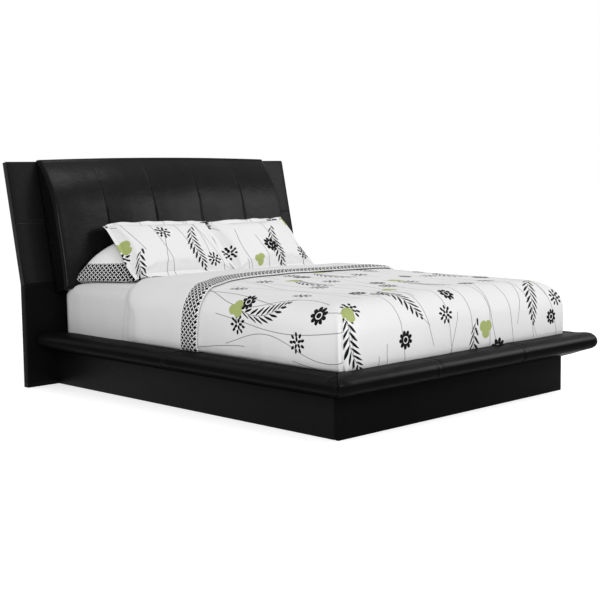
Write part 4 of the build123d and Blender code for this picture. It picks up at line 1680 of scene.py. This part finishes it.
    def across(self, ahead: Array) -> tuple[Array, Array, Array]:
        """Strip of the skin that runs over the bed from the left bottom to the right bottom.

        Args:
            ahead: Distances ahead, rows by columns of `column_places`.

        Returns:
            Points, outward directions and chart.
        """
        kind, share = self.column_places()
        top, edge, side = kind == 0, np.abs(kind) == 2, np.abs(kind) == 3
        r = self.side_radius
        inner = self.half - r
        sign = np.where(kind < 0, -1.0, 1.0)
        angle = np.where(edge, share * math.pi / 2, 0.0)
        wall = np.where(side, share, 1.0)
        x_top = np.where(top, share, sign * inner)
        rim = self.top_z(np.broadcast_to(x_top, ahead.shape), ahead)
        height = rim - r - self.bottom
        x = np.where(side, sign * (self.half - self.tucked(wall)), sign * (inner + r * np.cos(angle)))
        x = np.where(top, x_top, x)
        z = np.where(edge, rim - r + r * np.sin(angle), self.bottom + height * wall)
        lift = np.where(top, 1.0, np.sin(angle))
        fall = np.where(edge, r * (math.pi / 2 - angle), r * math.pi / 2 + height * (1 - wall))
        u = np.where(top, x_top, sign * (inner + fall))
        direction = paired(sign * np.sqrt(1 - lift ** 2), 0.0, lift + 0.0 * ahead)
        return self.places.at(x, ahead, np.where(top, rim, z)), direction, paired(u, ahead)

    def column_places(self) -> tuple[Array, Array]:
        """Kind and share of each column: 3 for a wall, 2 for an edge, 0 for the top; minus on the left.

        Returns:
            The kinds and the shares.
        """
        wall, arc = np.linspace(0.0, 1.0, 18)[:-1], np.linspace(0.0, 1.0, 13)
        inner = self.half - self.side_radius
        top = np.linspace(-inner, inner, self.columns)[1:-1]
        kind = np.repeat([-3, -2, 0, 2, 3], [len(wall), len(arc), len(top), len(arc), len(wall)])
        return kind, np.concatenate([wall, arc, top, arc[::-1], wall[::-1]])


@dataclass
class Bedding(Assembly):
    """Mattress, fitted sheet, duvet, and the flat sheet turned down over it with its lattice hem."""

    mattress_half: float = 0.762
    mattress_head: float = 0.010
    mattress_foot: float = 2.042
    mattress_top: float = 0.530
    duvet_half: float = 0.787
    duvet_foot: float = 2.094
    duvet_top: float = 0.568
    duvet_crown: float = 0.012
    duvet_droop: float = 0.015
    duvet_lean: float = 0.005
    duvet_head: float = 0.617
    side_radius: float = 0.115
    foot_radius: float = 0.130
    cloth: float = 0.0022
    hem_width: float = 0.102
    hem_u: tuple[float, ...] = (-1.1, -0.92, -0.82, -0.74, -0.63, -0.50, -0.34, -0.15, 0.3, 0.6, 0.85, 1.1)
    hem_ahead: tuple[float, ...] = (1.062, 1.066, 1.090, 1.095, 1.025, 0.945, 0.885, 0.872, 0.885, 0.895,
                                    0.920, 0.940)
    fold: float = 0.013
    hem_round: float = 0.022
    edge_reach: float = 0.036
    edge_flare: float = 0.030
    edge_width: float = 0.080
    edge_rise: Pair = (0.0035, 0.0008)
    pull: float = 0.0028
    crease: float = 0.0022
    turned_cloth: float = 0.0014
    ledge_top: float = 0.2815
    pressed: tuple[float, ...] = (0.0, 0.03, 0.06, 0.09, 0.104, 0.112, 0.118, 0.135, 0.175, 0.240)
    pressed_depth: tuple[float, ...] = (0.068, 0.052, 0.040, 0.031, 0.025, 0.018, 0.012, 0.006, 0.0005, -9.0)

    def __post_init__(self) -> None:
        """Works out the slabs."""
        p, cloth = self.places, self.cloth
        bare, clothed = self.mattress_top, self.mattress_top + self.cloth
        self.mattress_slab = Slab(
            p, self.mattress_half, self.mattress_head, self.mattress_foot, p.deck, bare,
            0.056, 0.045, 0.075, step=0.04, relief=self.pressed_below(bare))
        self.fitted_slab = Slab(
            p, self.mattress_half + cloth, self.mattress_head - cloth, self.mattress_foot + cloth,
            p.deck + 0.001, clothed, 0.058, 0.047, 0.077, step=0.014, relief=self.pressed_below(clothed))
        self.duvet_slab = Slab(
            p, self.duvet_half, self.duvet_head + 0.085, self.duvet_foot, self.ledge_top, self.duvet_top,
            self.side_radius, self.foot_radius, 0.036, self.duvet_crown, self.duvet_droop, self.duvet_lean,
            0.007, closed=False)

    def pressed_below(self, level: float) -> tuple[tuple[float, ...], tuple[float, ...]]:
        """Distances ahead and heights of the mattress that the pillows press down from a level."""
        return self.pressed, tuple(level - part for part in self.pressed_depth)

    def waves(self, u: Array, v: Array) -> Array:
        """How far the duvet stands out of its plain shape: broad waves on top, folds down the sides.

        Args:
            u: Coordinate across the bed, measured over the cloth.
            v: Coordinate along the bed.

        Returns:
            The offset.
        """
        side = ease(np.abs(u), 0.72, 0.98)
        broad = Ripple(51)(u, v, 0.30, 0.42) * 0.0045 + Ripple(52)(u, v, 0.12, 0.20) * 0.0016
        flutes = Ripple(53)(u * 0.25, v, 0.20, 0.135) * 0.0055 + Ripple(54)(u * 0.3, v, 0.2, 0.05) * 0.0018
        return broad * (1 - 0.6 * side) + flutes * side

    def hem_line(self, u: Array) -> Array:
        """Distance ahead at which the hem starts, for a coordinate across the bed."""
        blur = np.linspace(-0.07, 0.07, 9)[:, None]
        return np.interp(u[None, :] + blur, self.hem_u, self.hem_ahead).mean(axis=0)

    def mattress(self) -> Object:
        """The mattress itself, with a closed bottom."""
        facts = self.mattress_slab.skin()[2]
        push = [Ripple(61)(fact["x"], fact["ahead"], 0.2, 0.2) * 0.0008 for fact in facts]
        obj = self.mattress_slab.cover("bare_mattress", push)
        weld(obj, close=True)
        made = hand_over(obj, self.finishes[Slot.TICKING], Slot.TICKING, "mattress")
        return made

    def fitted_sheet(self) -> Object:
        """Sheet stretched over the mattress."""
        ring, top = self.fitted_slab.skin()[2]
        wave = Ripple(62)
        wall = ease(ring["fall"], 0.0, 0.12)
        pull = wave(ring["first"][..., 0] * 0.3, ring["first"][..., 1], 0.12, 0.06) * 0.0016 * wall
        slack = [(wave(part["x"] + 3.0, part["ahead"], 0.10, 0.13) + 1.0) * 0.0014 for part in (ring, top)]
        push = [slack[0] * (1 - wall) + np.abs(pull), slack[1]]
        obj = self.fitted_slab.cover("stretched_sheet", push)
        thicken(obj, 0.0012)
        # The fitted sheet takes the greyer cotton: painted shade.
        made = hand_over(obj, self.finishes.fitted, Slot.SHEET, "fitted_sheet")
        return made

    def duvet(self) -> Object:
        """The printed duvet."""
        ring, top = self.duvet_slab.skin()[2]
        first, second, turn, fall = (ring[key] for key in ("first", "second", "turn", "fall"))
        side_wave = self.waves(first[..., 0], first[..., 1])
        end_wave = self.waves(second[..., 1] - self.duvet_foot + 0.93, second[..., 0] + 5.0)
        foot = ease(turn, 0.2, 0.9) * (1 - ease(turn, math.pi - 0.9, math.pi - 0.2)) * ease(fall, 0.0, 0.16)
        push = side_wave * (1 - foot) + end_wave * foot
        crease = np.minimum(np.abs(turn - math.pi / 4), np.abs(turn - 0.75 * math.pi))
        push = push - 0.009 * dip(crease, 0.15) * ease(fall, 0.03, 0.20)
        push = push + 0.006 * dip(crease - 0.50, 0.30) * ease(fall, 0.05, 0.25)
        obj = self.duvet_slab.cover("printed_duvet", [push, self.waves(top["x"], top["ahead"])])
        thicken(obj, 0.012)
        made = hand_over(obj, self.finishes[Slot.PRINT], Slot.PRINT, "duvet")
        return made

    def turned_sheet(self) -> list[Object]:
        """Flat sheet over the duvet's head edge, and its lattice hem."""
        slab = self.duvet_slab
        kind, _ = slab.column_places()
        level = slab.across(np.full((1, len(kind)), 1.0))[2][0, :, 0]
        hem = self.hem_line(level)
        start = self.duvet_head - self.edge_reach - self.edge_flare * ease(np.abs(level), 0.84, 1.04)
        rows = np.concatenate([np.linspace(0.0, 0.09, 16)[:-1], np.linspace(0.09, 1.0, 34)])
        ahead = start + (hem - start) * rows[:, None]
        into = ahead - start
        points, direction, chart = slab.across(ahead)
        bare_points = self.fitted_slab.across(ahead)[0]
        thick = np.linalg.norm(points - bare_points, axis=-1)
        u, v = chart[..., 0], chart[..., 1]
        width = self.edge_width + self.edge_width * ease(np.abs(u), 0.78, 0.95)
        round_edge = ease(into / width, -0.18, 1.0)
        base = bare_points + (points - bare_points) * (0.04 + 0.96 * round_edge)[..., None]
        wrinkle = Ripple(71)
        wall = ease(np.abs(u), 0.74, 0.95)
        pulls = wrinkle(u * 0.2, v, 0.2, 0.045) * self.pull * wall * ease(into, 0.01, 0.08)
        creases = wrinkle(u + v * 0.8, v - u * 0.4, 0.09, 0.30) * self.crease * (1 - wall)
        soft = self.waves(u, v) * ease(into, 0.0, 0.10)
        rise = (self.edge_rise[0] - self.edge_rise[1] * wall) * (0.35 + 0.65 * ease(into, 0.0, 0.012))
        rise = rise + self.fold * ease(into / width, 0.0, 1.2)
        offset = rise + soft + (pulls + creases) * ease(hem - ahead, 0.0, 0.06)
        log.info("turned sheet: duvet edge up to %.0f mm thick", 1000 * thick.max())
        sheet = Grid(base, chart).pushed(direction, offset).build("turned_sheet")
        thicken(sheet, self.turned_cloth)
        sheet = hand_over(sheet, self.finishes[Slot.SHEET], Slot.SHEET, "flat_sheet")
        lattice = self.lattice_band(hem)
        return [sheet, lattice]

    def lattice_band(self, hem: Array) -> Object:
        """The lattice hem, whose far edge is rounded down onto the duvet.

        Args:
            hem: Distance ahead at which it starts, by column.

        Returns:
            The hem.
        """
        rows = np.linspace(0.0, 1.0, 20)[:, None]
        ahead = hem + self.hem_width * rows
        points, direction, chart = self.duvet_slab.across(ahead)
        to_edge = np.clip((1 - rows) * self.hem_width / self.hem_round, 0.0, 1.0)
        rise = 0.15 + 0.85 * np.sqrt(np.clip(1 - (1 - to_edge) ** 2, 0.0, 1.0))
        lift = 0.004 + self.fold * rise + self.waves(chart[..., 0], chart[..., 1])
        band = Grid(points, paired(self.hem_width * rows, chart[..., 0])).pushed(direction, lift)
        obj = band.build("lattice_band")
        thicken(obj, self.turned_cloth)
        return hand_over(obj, self.finishes[Slot.LATTICE], Slot.LATTICE, "sheet_hem")

    def build(self) -> list[Object]:
        """Builds the bedding of the bed's deck."""
        return [self.mattress(), self.fitted_sheet(), self.duvet(), *self.turned_sheet()]


@dataclass(frozen=True)
class Case:
    """Closed fabric case: a front and a back sheet, rows by columns, that share their border."""

    front: Array
    back: Array
    chart: Array

    def border(self) -> Array:
        """Point numbers of the border, once round."""
        number = numbered(self.front.shape)
        return np.concatenate([number[0, :-1], number[:-1, -1], number[-1, :0:-1], number[:0:-1, 0]])

    def build(self, name: str) -> Object:
        """Makes the closed mesh, its first points in the order of the front sheet.

        Args:
            name: Name of the object.

        Returns:
            The object, with the chart as its UV map.
        """
        number = numbered(self.front.shape)
        other = number.copy()
        other[1:-1, 1:-1] = numbered(number[1:-1, 1:-1].shape, number.size)
        points = np.concatenate([self.front.reshape(-1, 3), self.back[1:-1, 1:-1].reshape(-1, 3)])
        faces = np.concatenate([corners_of(number), corners_of(other)[..., ::-1]])
        charts = corners_of(self.chart)
        return mesh_object(name, points, faces, np.concatenate([charts, charts[:, :, ::-1]]))


@dataclass(frozen=True)
class Filling:
    """Cloth simulation that fills cases with soft stuffing, one run for all of them."""

    pressure: float = 2.4
    frames: int = 22
    looseness: float = 0.025
    cap: float = 0.016
    quality: int = 7
    mass: float = 0.25
    stretch: float = 14.0
    shear: float = 7.0
    bending: float = 0.25

    def soften(self, case: Object) -> None:
        """Makes a case cloth with pressure inside.

        Args:
            case: The case.
        """
        cloth = case.modifiers.new("filling", "CLOTH")
        cloth.point_cache.frame_start = 1
        cloth.point_cache.frame_end = self.frames
        rules = cloth.settings
        rules.quality = self.quality
        rules.mass = self.mass
        rules.tension_stiffness = rules.compression_stiffness = self.stretch
        rules.shear_stiffness = self.shear
        rules.bending_stiffness = self.bending
        rules.use_pressure = True
        rules.uniform_pressure_force = self.pressure
        rules.shrink_min = -self.looseness
        rules.effector_weights.gravity = 0.0

    def run(self, cases: Sequence[Object]) -> None:
        """Swells the cases and keeps the result as their mesh.

        Args:
            cases: Closed cases, somewhat thinner than they are to become.
        """
        scene = bpy.context.scene
        for case in cases:
            self.soften(case)
        for number in range(1, self.frames + 1):
            scene.frame_set(number)
        graph = bpy.context.evaluated_depsgraph_get()
        for case in cases:
            before, after = points_of(case), points_of(case.evaluated_get(graph))
            move = after - before
            move = move - move.mean(axis=0)
            size = np.linalg.norm(move, axis=1, keepdims=True)
            move = move * np.minimum(1.0, self.cap / np.maximum(size, 1e-9))
            case.modifiers.clear()
            set_points(case, before + move)
            log.info("%s: filled, moved up to %.0f mm", case.name, 1000 * min(size.max(), self.cap))
        scene.frame_set(1)


def points_of(obj: Object) -> Array:
    """Points of an object's mesh.

    Args:
        obj: Mesh object.

    Returns:
        The points.
    """
    points = np.empty(len(obj.data.vertices) * 3, np.float32)
    obj.data.vertices.foreach_get("co", points)
    return points.reshape(-1, 3).astype(float)


def set_points(obj: Object, points: Array) -> None:
    """Moves an object's points to new places."""
    obj.data.vertices.foreach_set("co", points.reshape(-1).astype(np.float32))
    obj.data.update()


def refine(obj: Object) -> None:
    """Subdivides a mesh once, smoothly."""
    shaped(obj, "SUBSURF", levels=1, render_levels=1, uv_smooth="PRESERVE_BOUNDARIES")


def join(parts: Sequence[Object]) -> None:
    """Joins mesh objects into the first one.

    Args:
        parts: The objects.
    """
    shape = bmesh.new()
    for part in parts:
        shape.from_mesh(part.data)
    shape.to_mesh(parts[0].data)
    shape.free()
    for part in parts[1:]:
        bpy.data.objects.remove(part)


@dataclass(frozen=True)
class Posture:
    """Where a sham lies: its middle, tilt from the horizontal, turn about the upright, and roll."""

    x: float
    ahead: float
    z: float
    tilt: float
    turn: float = 0.0
    roll: float = 0.0

    def matrix(self, places: Places) -> Matrix:
        """Takes a sham drawn flat, its Y up the sham and its Z out of the front, to its place.

        Args:
            places: Places of the bed.

        Returns:
            The move.
        """
        spot = Matrix.Translation((self.x, places.face_y - self.ahead, self.z))
        lean = Matrix.Rotation(self.tilt, 4, "X") @ Matrix.Rotation(self.roll, 4, "Z")
        return spot @ Matrix.Rotation(self.turn, 4, "Z") @ lean


@dataclass
class Sham(Assembly):
    """Printed sham with a flat flange, that leans on a pillow."""

    name: str
    node: str
    posture: Posture
    seed: int
    width: float = 0.700
    height: float = 0.440
    thickness: float = 0.094
    flange: float = 0.026
    pull: float = 0.010
    cloth: float = 0.0024
    ear: Triple = (-0.008, -0.056, 0.010)
    chart_shift: Pair = (0.0, 0.0)
    grid: tuple[int, int] = (54, 84)

    def square(self) -> list[Array]:
        """Shares of the half width and half height at the grid's points, closer at the border."""
        rows, cols = self.grid
        return np.meshgrid(crowded(cols), crowded(rows))

    def outline(self, a: Array, b: Array, margin: float) -> tuple[Array, Array]:
        """Place in the flat sham of a share of its half sizes; the sides bow in between the corners.

        Args:
            a: Share of the half width.
            b: Share of the half height.
            margin: Distance inside the flange's edge.

        Returns:
            x and y.
        """
        w, h = self.width / 2 - margin, self.height / 2 - margin
        x = a * (w - self.pull * (1 - b ** 2) * np.abs(a) ** 5)
        return x, b * (h - self.pull * (1 - a ** 2) * np.abs(b) ** 5)

    def printed(self, x: Array, y: Array) -> Array:
        """Places in the print's chart of places in the flat sham."""
        return paired(x + self.chart_shift[0], self.chart_shift[1] - y)

    def body(self) -> Case:
        """The stuffed part, before it is filled."""
        a, b = self.square()
        x, y = self.outline(a, b, self.flange)
        full = np.clip((1 - np.abs(a) ** 2.6) * (1 - np.abs(b) ** 2.4), 0.0, 1.0) ** 0.72
        full = full * (1.0 - 0.04 * b)
        wave = Ripple(self.seed)
        soft = wave(x, y + 9, 0.16, 0.12) * 0.05 + 1.0
        crumple = wave(x, y, 0.050, 0.045) * 0.0012 * full
        half = self.thickness / 2 * full * soft
        return Case(paired(x, y, half + crumple), paired(x, y, -half * 0.8 + crumple), self.printed(x, y))

    def border_ring(self, case: Case, filled: Array) -> Object:
        """The flange: two layers of cloth round the stuffed part.

        Args:
            case: The stuffed part as drawn.
            filled: Its points once filled.

        Returns:
            The ring.
        """
        a, b = (part.reshape(-1)[case.border()] for part in self.square())
        inner = filled[case.border()]
        x0, y0 = self.outline(a, b, self.flange)
        x1, y1 = self.outline(a, b, 0.0)
        outer = paired(x1, y1, 0.0) + (inner - paired(x0, y0, 0.0)) * np.array([0.75, 0.75, 0.5])
        share = np.array([-0.14, 0.0, 0.2, 0.4, 0.6, 0.8, 0.94, 1.0])[:, None]
        lift = np.array([0.3, 0.6, 1.0, 1.0, 1.0, 1.0, 1.0, 0.3])[:, None] * self.cloth / 2
        wave = Ripple(self.seed + 200)
        flutter = wave(x1, y1, 0.075, 0.075) * 0.0065 + wave(x1 + 3, y1, 0.03, 0.03) * 0.0016
        mid = inner + (outer - inner) * share[..., None]
        mid[..., 2] += flutter * np.clip(share, 0.0, 1.0) ** 1.3
        up, down = mid + paired(0.0, 0.0, lift), mid - paired(0.0, 0.0, lift)
        base, flat = self.printed(x0, y0), self.printed(x1, y1)
        chart = base + (flat - base) * np.concatenate([share, share[::-1], share[:1]])[..., None]
        ring = Grid(np.concatenate([up, down[::-1], up[:1]]), chart, True)
        obj = ring.build(self.name + "_flange", flip=True)
        weld(obj, 1e-6)
        return obj

    def arrange(self, obj: Object) -> None:
        """Bends the sham over what it leans on, and turns its upper outer corner into an ear.

        Args:
            obj: The sham, drawn flat.
        """
        points = points_of(obj)
        a, b = points[:, 0] / (self.width / 2), points[:, 1] / (self.height / 2)
        outer, low, high = (np.clip(part, 0.0, 1.2) for part in (-a, -b, b))
        points += (outer ** 7 * high ** 4)[:, None] * np.array(self.ear)
        points[:, 0] += 0.022 * outer ** 5 * low ** 2
        points[:, 2] += -0.016 * a ** 2 - 0.010 * high ** 3 + 0.004 * low ** 3
        points[:, 1] -= 0.001 * (1 - a ** 2) * high ** 2 - 0.006 * low ** 4
        set_points(obj, points)
        obj.data.transform(self.posture.matrix(self.places))

    def finish(self, case: Case, obj: Object) -> Object:
        """Adds the flange to the filled part and puts the sham in its place.

        Args:
            case: The stuffed part as drawn.
            obj: The filled part.

        Returns:
            The sham.
        """
        join([obj, self.border_ring(case, points_of(obj))])
        refine(obj)
        self.arrange(obj)
        made = hand_over(obj, self.finishes[Slot.PRINT], Slot.PRINT, self.node)
        return made


@dataclass
class Pillow(Assembly):
    """Sleeping pillow behind a sham, with a lattice hem along its lower edge."""

    side: Side
    seed: int
    outer: float = 0.748
    inner: float = 0.030
    back: float = 0.078
    front: float = 0.336
    base: float = 0.5345
    height: float = 0.258
    skew: float = 0.165
    grid: tuple[int, int] = (40, 72)

    def body(self) -> Case:
        """The pillow before it is filled: its outer end slants forward and its back is higher."""
        rows, cols = self.grid
        a, b = np.meshgrid((1 + crowded(cols)) / 2, crowded(rows))
        ahead = (self.front + self.back) / 2 + b * (self.front - self.back) / 2
        start = self.outer - self.skew * (b + 1) / 2
        x = start - a * (start - self.inner)
        ends = np.clip(1 - np.abs(2 * a - 1) ** 2.4, 0.0, 1.0) ** 0.72
        sides = np.clip(1 - np.abs(b) ** 2.6, 0.0, 1.0) ** 0.60
        full = ends * sides
        wave = Ripple(self.seed)
        soft = wave(x, ahead, 0.11, 0.09) * 0.005 * full ** 0.5
        pinch = wave(ahead, x, 0.032, 0.16) * 0.0032 * dip(a, 0.16) * full ** 0.3
        rim = self.base + 0.004
        top = rim + self.height * full * (1.0 - 0.25 * (b + 1)) + soft + pinch
        chart = paired(1.30 * (top - self.base), 1.15 * ahead - 0.7 * np.abs(x))
        x = x * self.side.value
        sheets = [self.places.at(x, ahead, top), self.places.at(x, ahead, rim - 0.0015 * full), chart]
        step = 1 if self.side is Side.LEFT else -1
        return Case(*(sheet[::-1, ::step] for sheet in sheets))

    def finish(self, obj: Object) -> Object:
        """Dresses the filled pillow.

        Args:
            obj: The filled pillow.

        Returns:
            The pillow.
        """
        refine(obj)
        made = hand_over(obj, self.finishes[Slot.PILLOWCASE], Slot.PILLOWCASE,
                         f"{self.side.name.lower()}_pillow")
        return made


@dataclass
class PillowSet(Assembly):
    """Two pillows, and two shams that lean on them."""

    tilt: float = math.radians(46.0)

    def build(self) -> list[Object]:
        """Draws the cases, fills them in one run, and finishes them."""
        p, looks = self.places, self.finishes
        left = Posture(-0.222, 0.272, 0.702, self.tilt, math.radians(-1.2), math.radians(-1.6))
        right = Posture(0.413, 0.282, 0.692, self.tilt, math.radians(2.2), math.radians(0.4))
        shams = [
            Sham(p, looks, "left_printed_sham", "left_sham", left, 81, width=0.722),
            Sham(p, looks, "right_printed_sham", "right_sham", right, 83, width=0.680,
                 ear=(0.0, 0.0, 0.0), chart_shift=(1.31, 0.4))]
        pillows = [Pillow(p, looks, side, 91 + side.value) for side in Side]
        cases = [sham.body() for sham in shams]
        covers = [case.build(sham.name) for case, sham in zip(cases, shams)]
        inners = [one.body().build(f"{one.side.name.lower()}_sleeping_pillow") for one in pillows]
        Filling().run(covers)
        Filling(cap=0.010, looseness=0.02).run(inners)
        made = [sham.finish(case, obj) for sham, case, obj in zip(shams, cases, covers)]
        return made + [pillow.finish(obj) for pillow, obj in zip(pillows, inners)]


# ---- studio
@dataclass(frozen=True)
class Lamp:
    """Soft lamp that stands at one place and points at another; its power is in watts."""

    name: str
    at: Triple
    target: Triple
    size: Pair
    power: float

    def build(self) -> None:
        """Adds the lamp."""
        data = bpy.data.lights.new(self.name, "AREA")
        data.shape = "RECTANGLE"
        data.size, data.size_y = self.size
        data.energy = self.power
        lamp = bpy.data.objects.new(self.name, data)
        lamp.location = self.at
        lamp.rotation_euler = (Vector(self.target) - Vector(self.at)).to_track_quat("-Z", "Y").to_euler()
        bpy.context.scene.collection.objects.link(lamp)


@dataclass(frozen=True)
class Studio:
    """Pale floor, soft lamps and the camera."""

    camera_at: Triple = (-4.308, -4.4824, 1.095)
    yaw: float = math.radians(43.928)
    pitch: float = math.radians(-5.956)
    roll: float = math.radians(-0.741)
    lens: float = 73.34
    daylight: float = 0.54
    floor_glow: float = 0.57
    floor_half: float = 60.0
    lamps: tuple[Lamp, ...] = (
        Lamp("window", (3.5, -2.35, 2.70), (0.1, 0.8, 0.95), (1.7, 2.0), 68.0),
        Lamp("top", (0.45, 0.22, 3.0), (-0.71, 0.75, 1.08), (0.5, 0.6), 9.0),
        Lamp("fill", (-4.7, -5.2, 2.6), (0.0, 0.0, 0.4), (2.4, 1.8), 218.0),
        Lamp("back", (-0.9, 4.4, 3.3), (-0.4, 0.0, 0.4), (2.2, 0.9), 20.0))

    def camera(self) -> None:
        """Sets up the camera."""
        ahead = Vector((math.sin(self.yaw) * math.cos(self.pitch), math.cos(self.yaw) * math.cos(self.pitch),
                        math.sin(self.pitch)))
        level = Vector((math.cos(self.yaw), -math.sin(self.yaw), 0.0))
        up = level.cross(ahead)
        right = level * math.cos(self.roll) + up * math.sin(self.roll)
        above = up * math.cos(self.roll) - level * math.sin(self.roll)
        data = bpy.data.cameras.new("camera")
        data.lens = self.lens
        data.sensor_width = 36.0
        camera = bpy.data.objects.new("camera", data)
        axes = Matrix((right, above, -ahead)).transposed()
        camera.matrix_world = Matrix.Translation(self.camera_at) @ axes.to_4x4()
        bpy.context.scene.collection.objects.link(camera)
        bpy.context.scene.camera = camera

    @staticmethod
    def seen(shade: Nodes) -> Value:
        """1 for what the camera sees, also through gloss and glass.

        Args:
            shade: The tree it is built in.

        Returns:
            The mask.
        """
        path = shade.node("ShaderNodeLightPath").outputs
        camera, glossy, through = (Value(shade, path[name]) for name in
                                   ("Is Camera Ray", "Is Glossy Ray", "Is Transmission Ray"))
        return camera | glossy | through

    def surroundings(self) -> None:
        """White surroundings as seen and mirrored, dimmer as light."""
        world = bpy.data.worlds.new("surroundings")
        bpy.context.scene.world = world
        world.use_nodes = True
        shade = Nodes(world.node_tree)
        strength = self.seen(shade) * (1.0 - self.daylight) + self.daylight
        back = shade.node("ShaderNodeBackground", inputs={"Strength": strength, "Color": grey(1.0)})
        shade.node("ShaderNodeOutputWorld", inputs={0: back.outputs[0]})

    def floor(self) -> None:
        """Lays the pale floor, which is white as seen and keeps the bed's shadow."""
        size = self.floor_half
        mesh = bpy.data.meshes.new("floor")
        corners = [(-size, -size, 0), (size, -size, 0), (size, size, 0), (-size, size, 0)]
        mesh.from_pydata(corners, [], [(0, 1, 2, 3)])
        obj = link(mesh)
        shade = Shade("pale_floor")
        matt = shade.node("ShaderNodeBsdfDiffuse", inputs={"Color": grey(0.90)})
        glow = shade.node("ShaderNodeEmission", inputs={"Strength": self.floor_glow})
        lit = shade.node("ShaderNodeAddShader", inputs={0: matt.outputs[0], 1: glow.outputs[0]})
        mixed = shade.node("ShaderNodeMixShader", inputs={
            0: self.seen(shade), 1: matt.outputs[0], 2: lit.outputs[0]})
        shade.node("ShaderNodeOutputMaterial", inputs={0: mixed.outputs[0]})
        obj.data.materials.append(shade.material)

    def build(self) -> None:
        """Builds the studio."""
        self.camera()
        self.surroundings()
        self.floor()
        for lamp in self.lamps:
            lamp.build()
        bpy.context.scene.view_settings.view_transform = "Standard"


def main() -> None:
    """Builds the bed's looks in order."""
    logging.basicConfig(level=logging.INFO, format="%(name)s: %(message)s")
    Studio().build()
    places = Places.from_frame()
    finishes = Finishes()
    finishes.dress_frame()
    for assembly in (Headboard, PaddedPanel, Ledge, Plinth, Bedding, PillowSet):
        assembly(places, finishes).build()


if __name__ == "__main__":
    main()
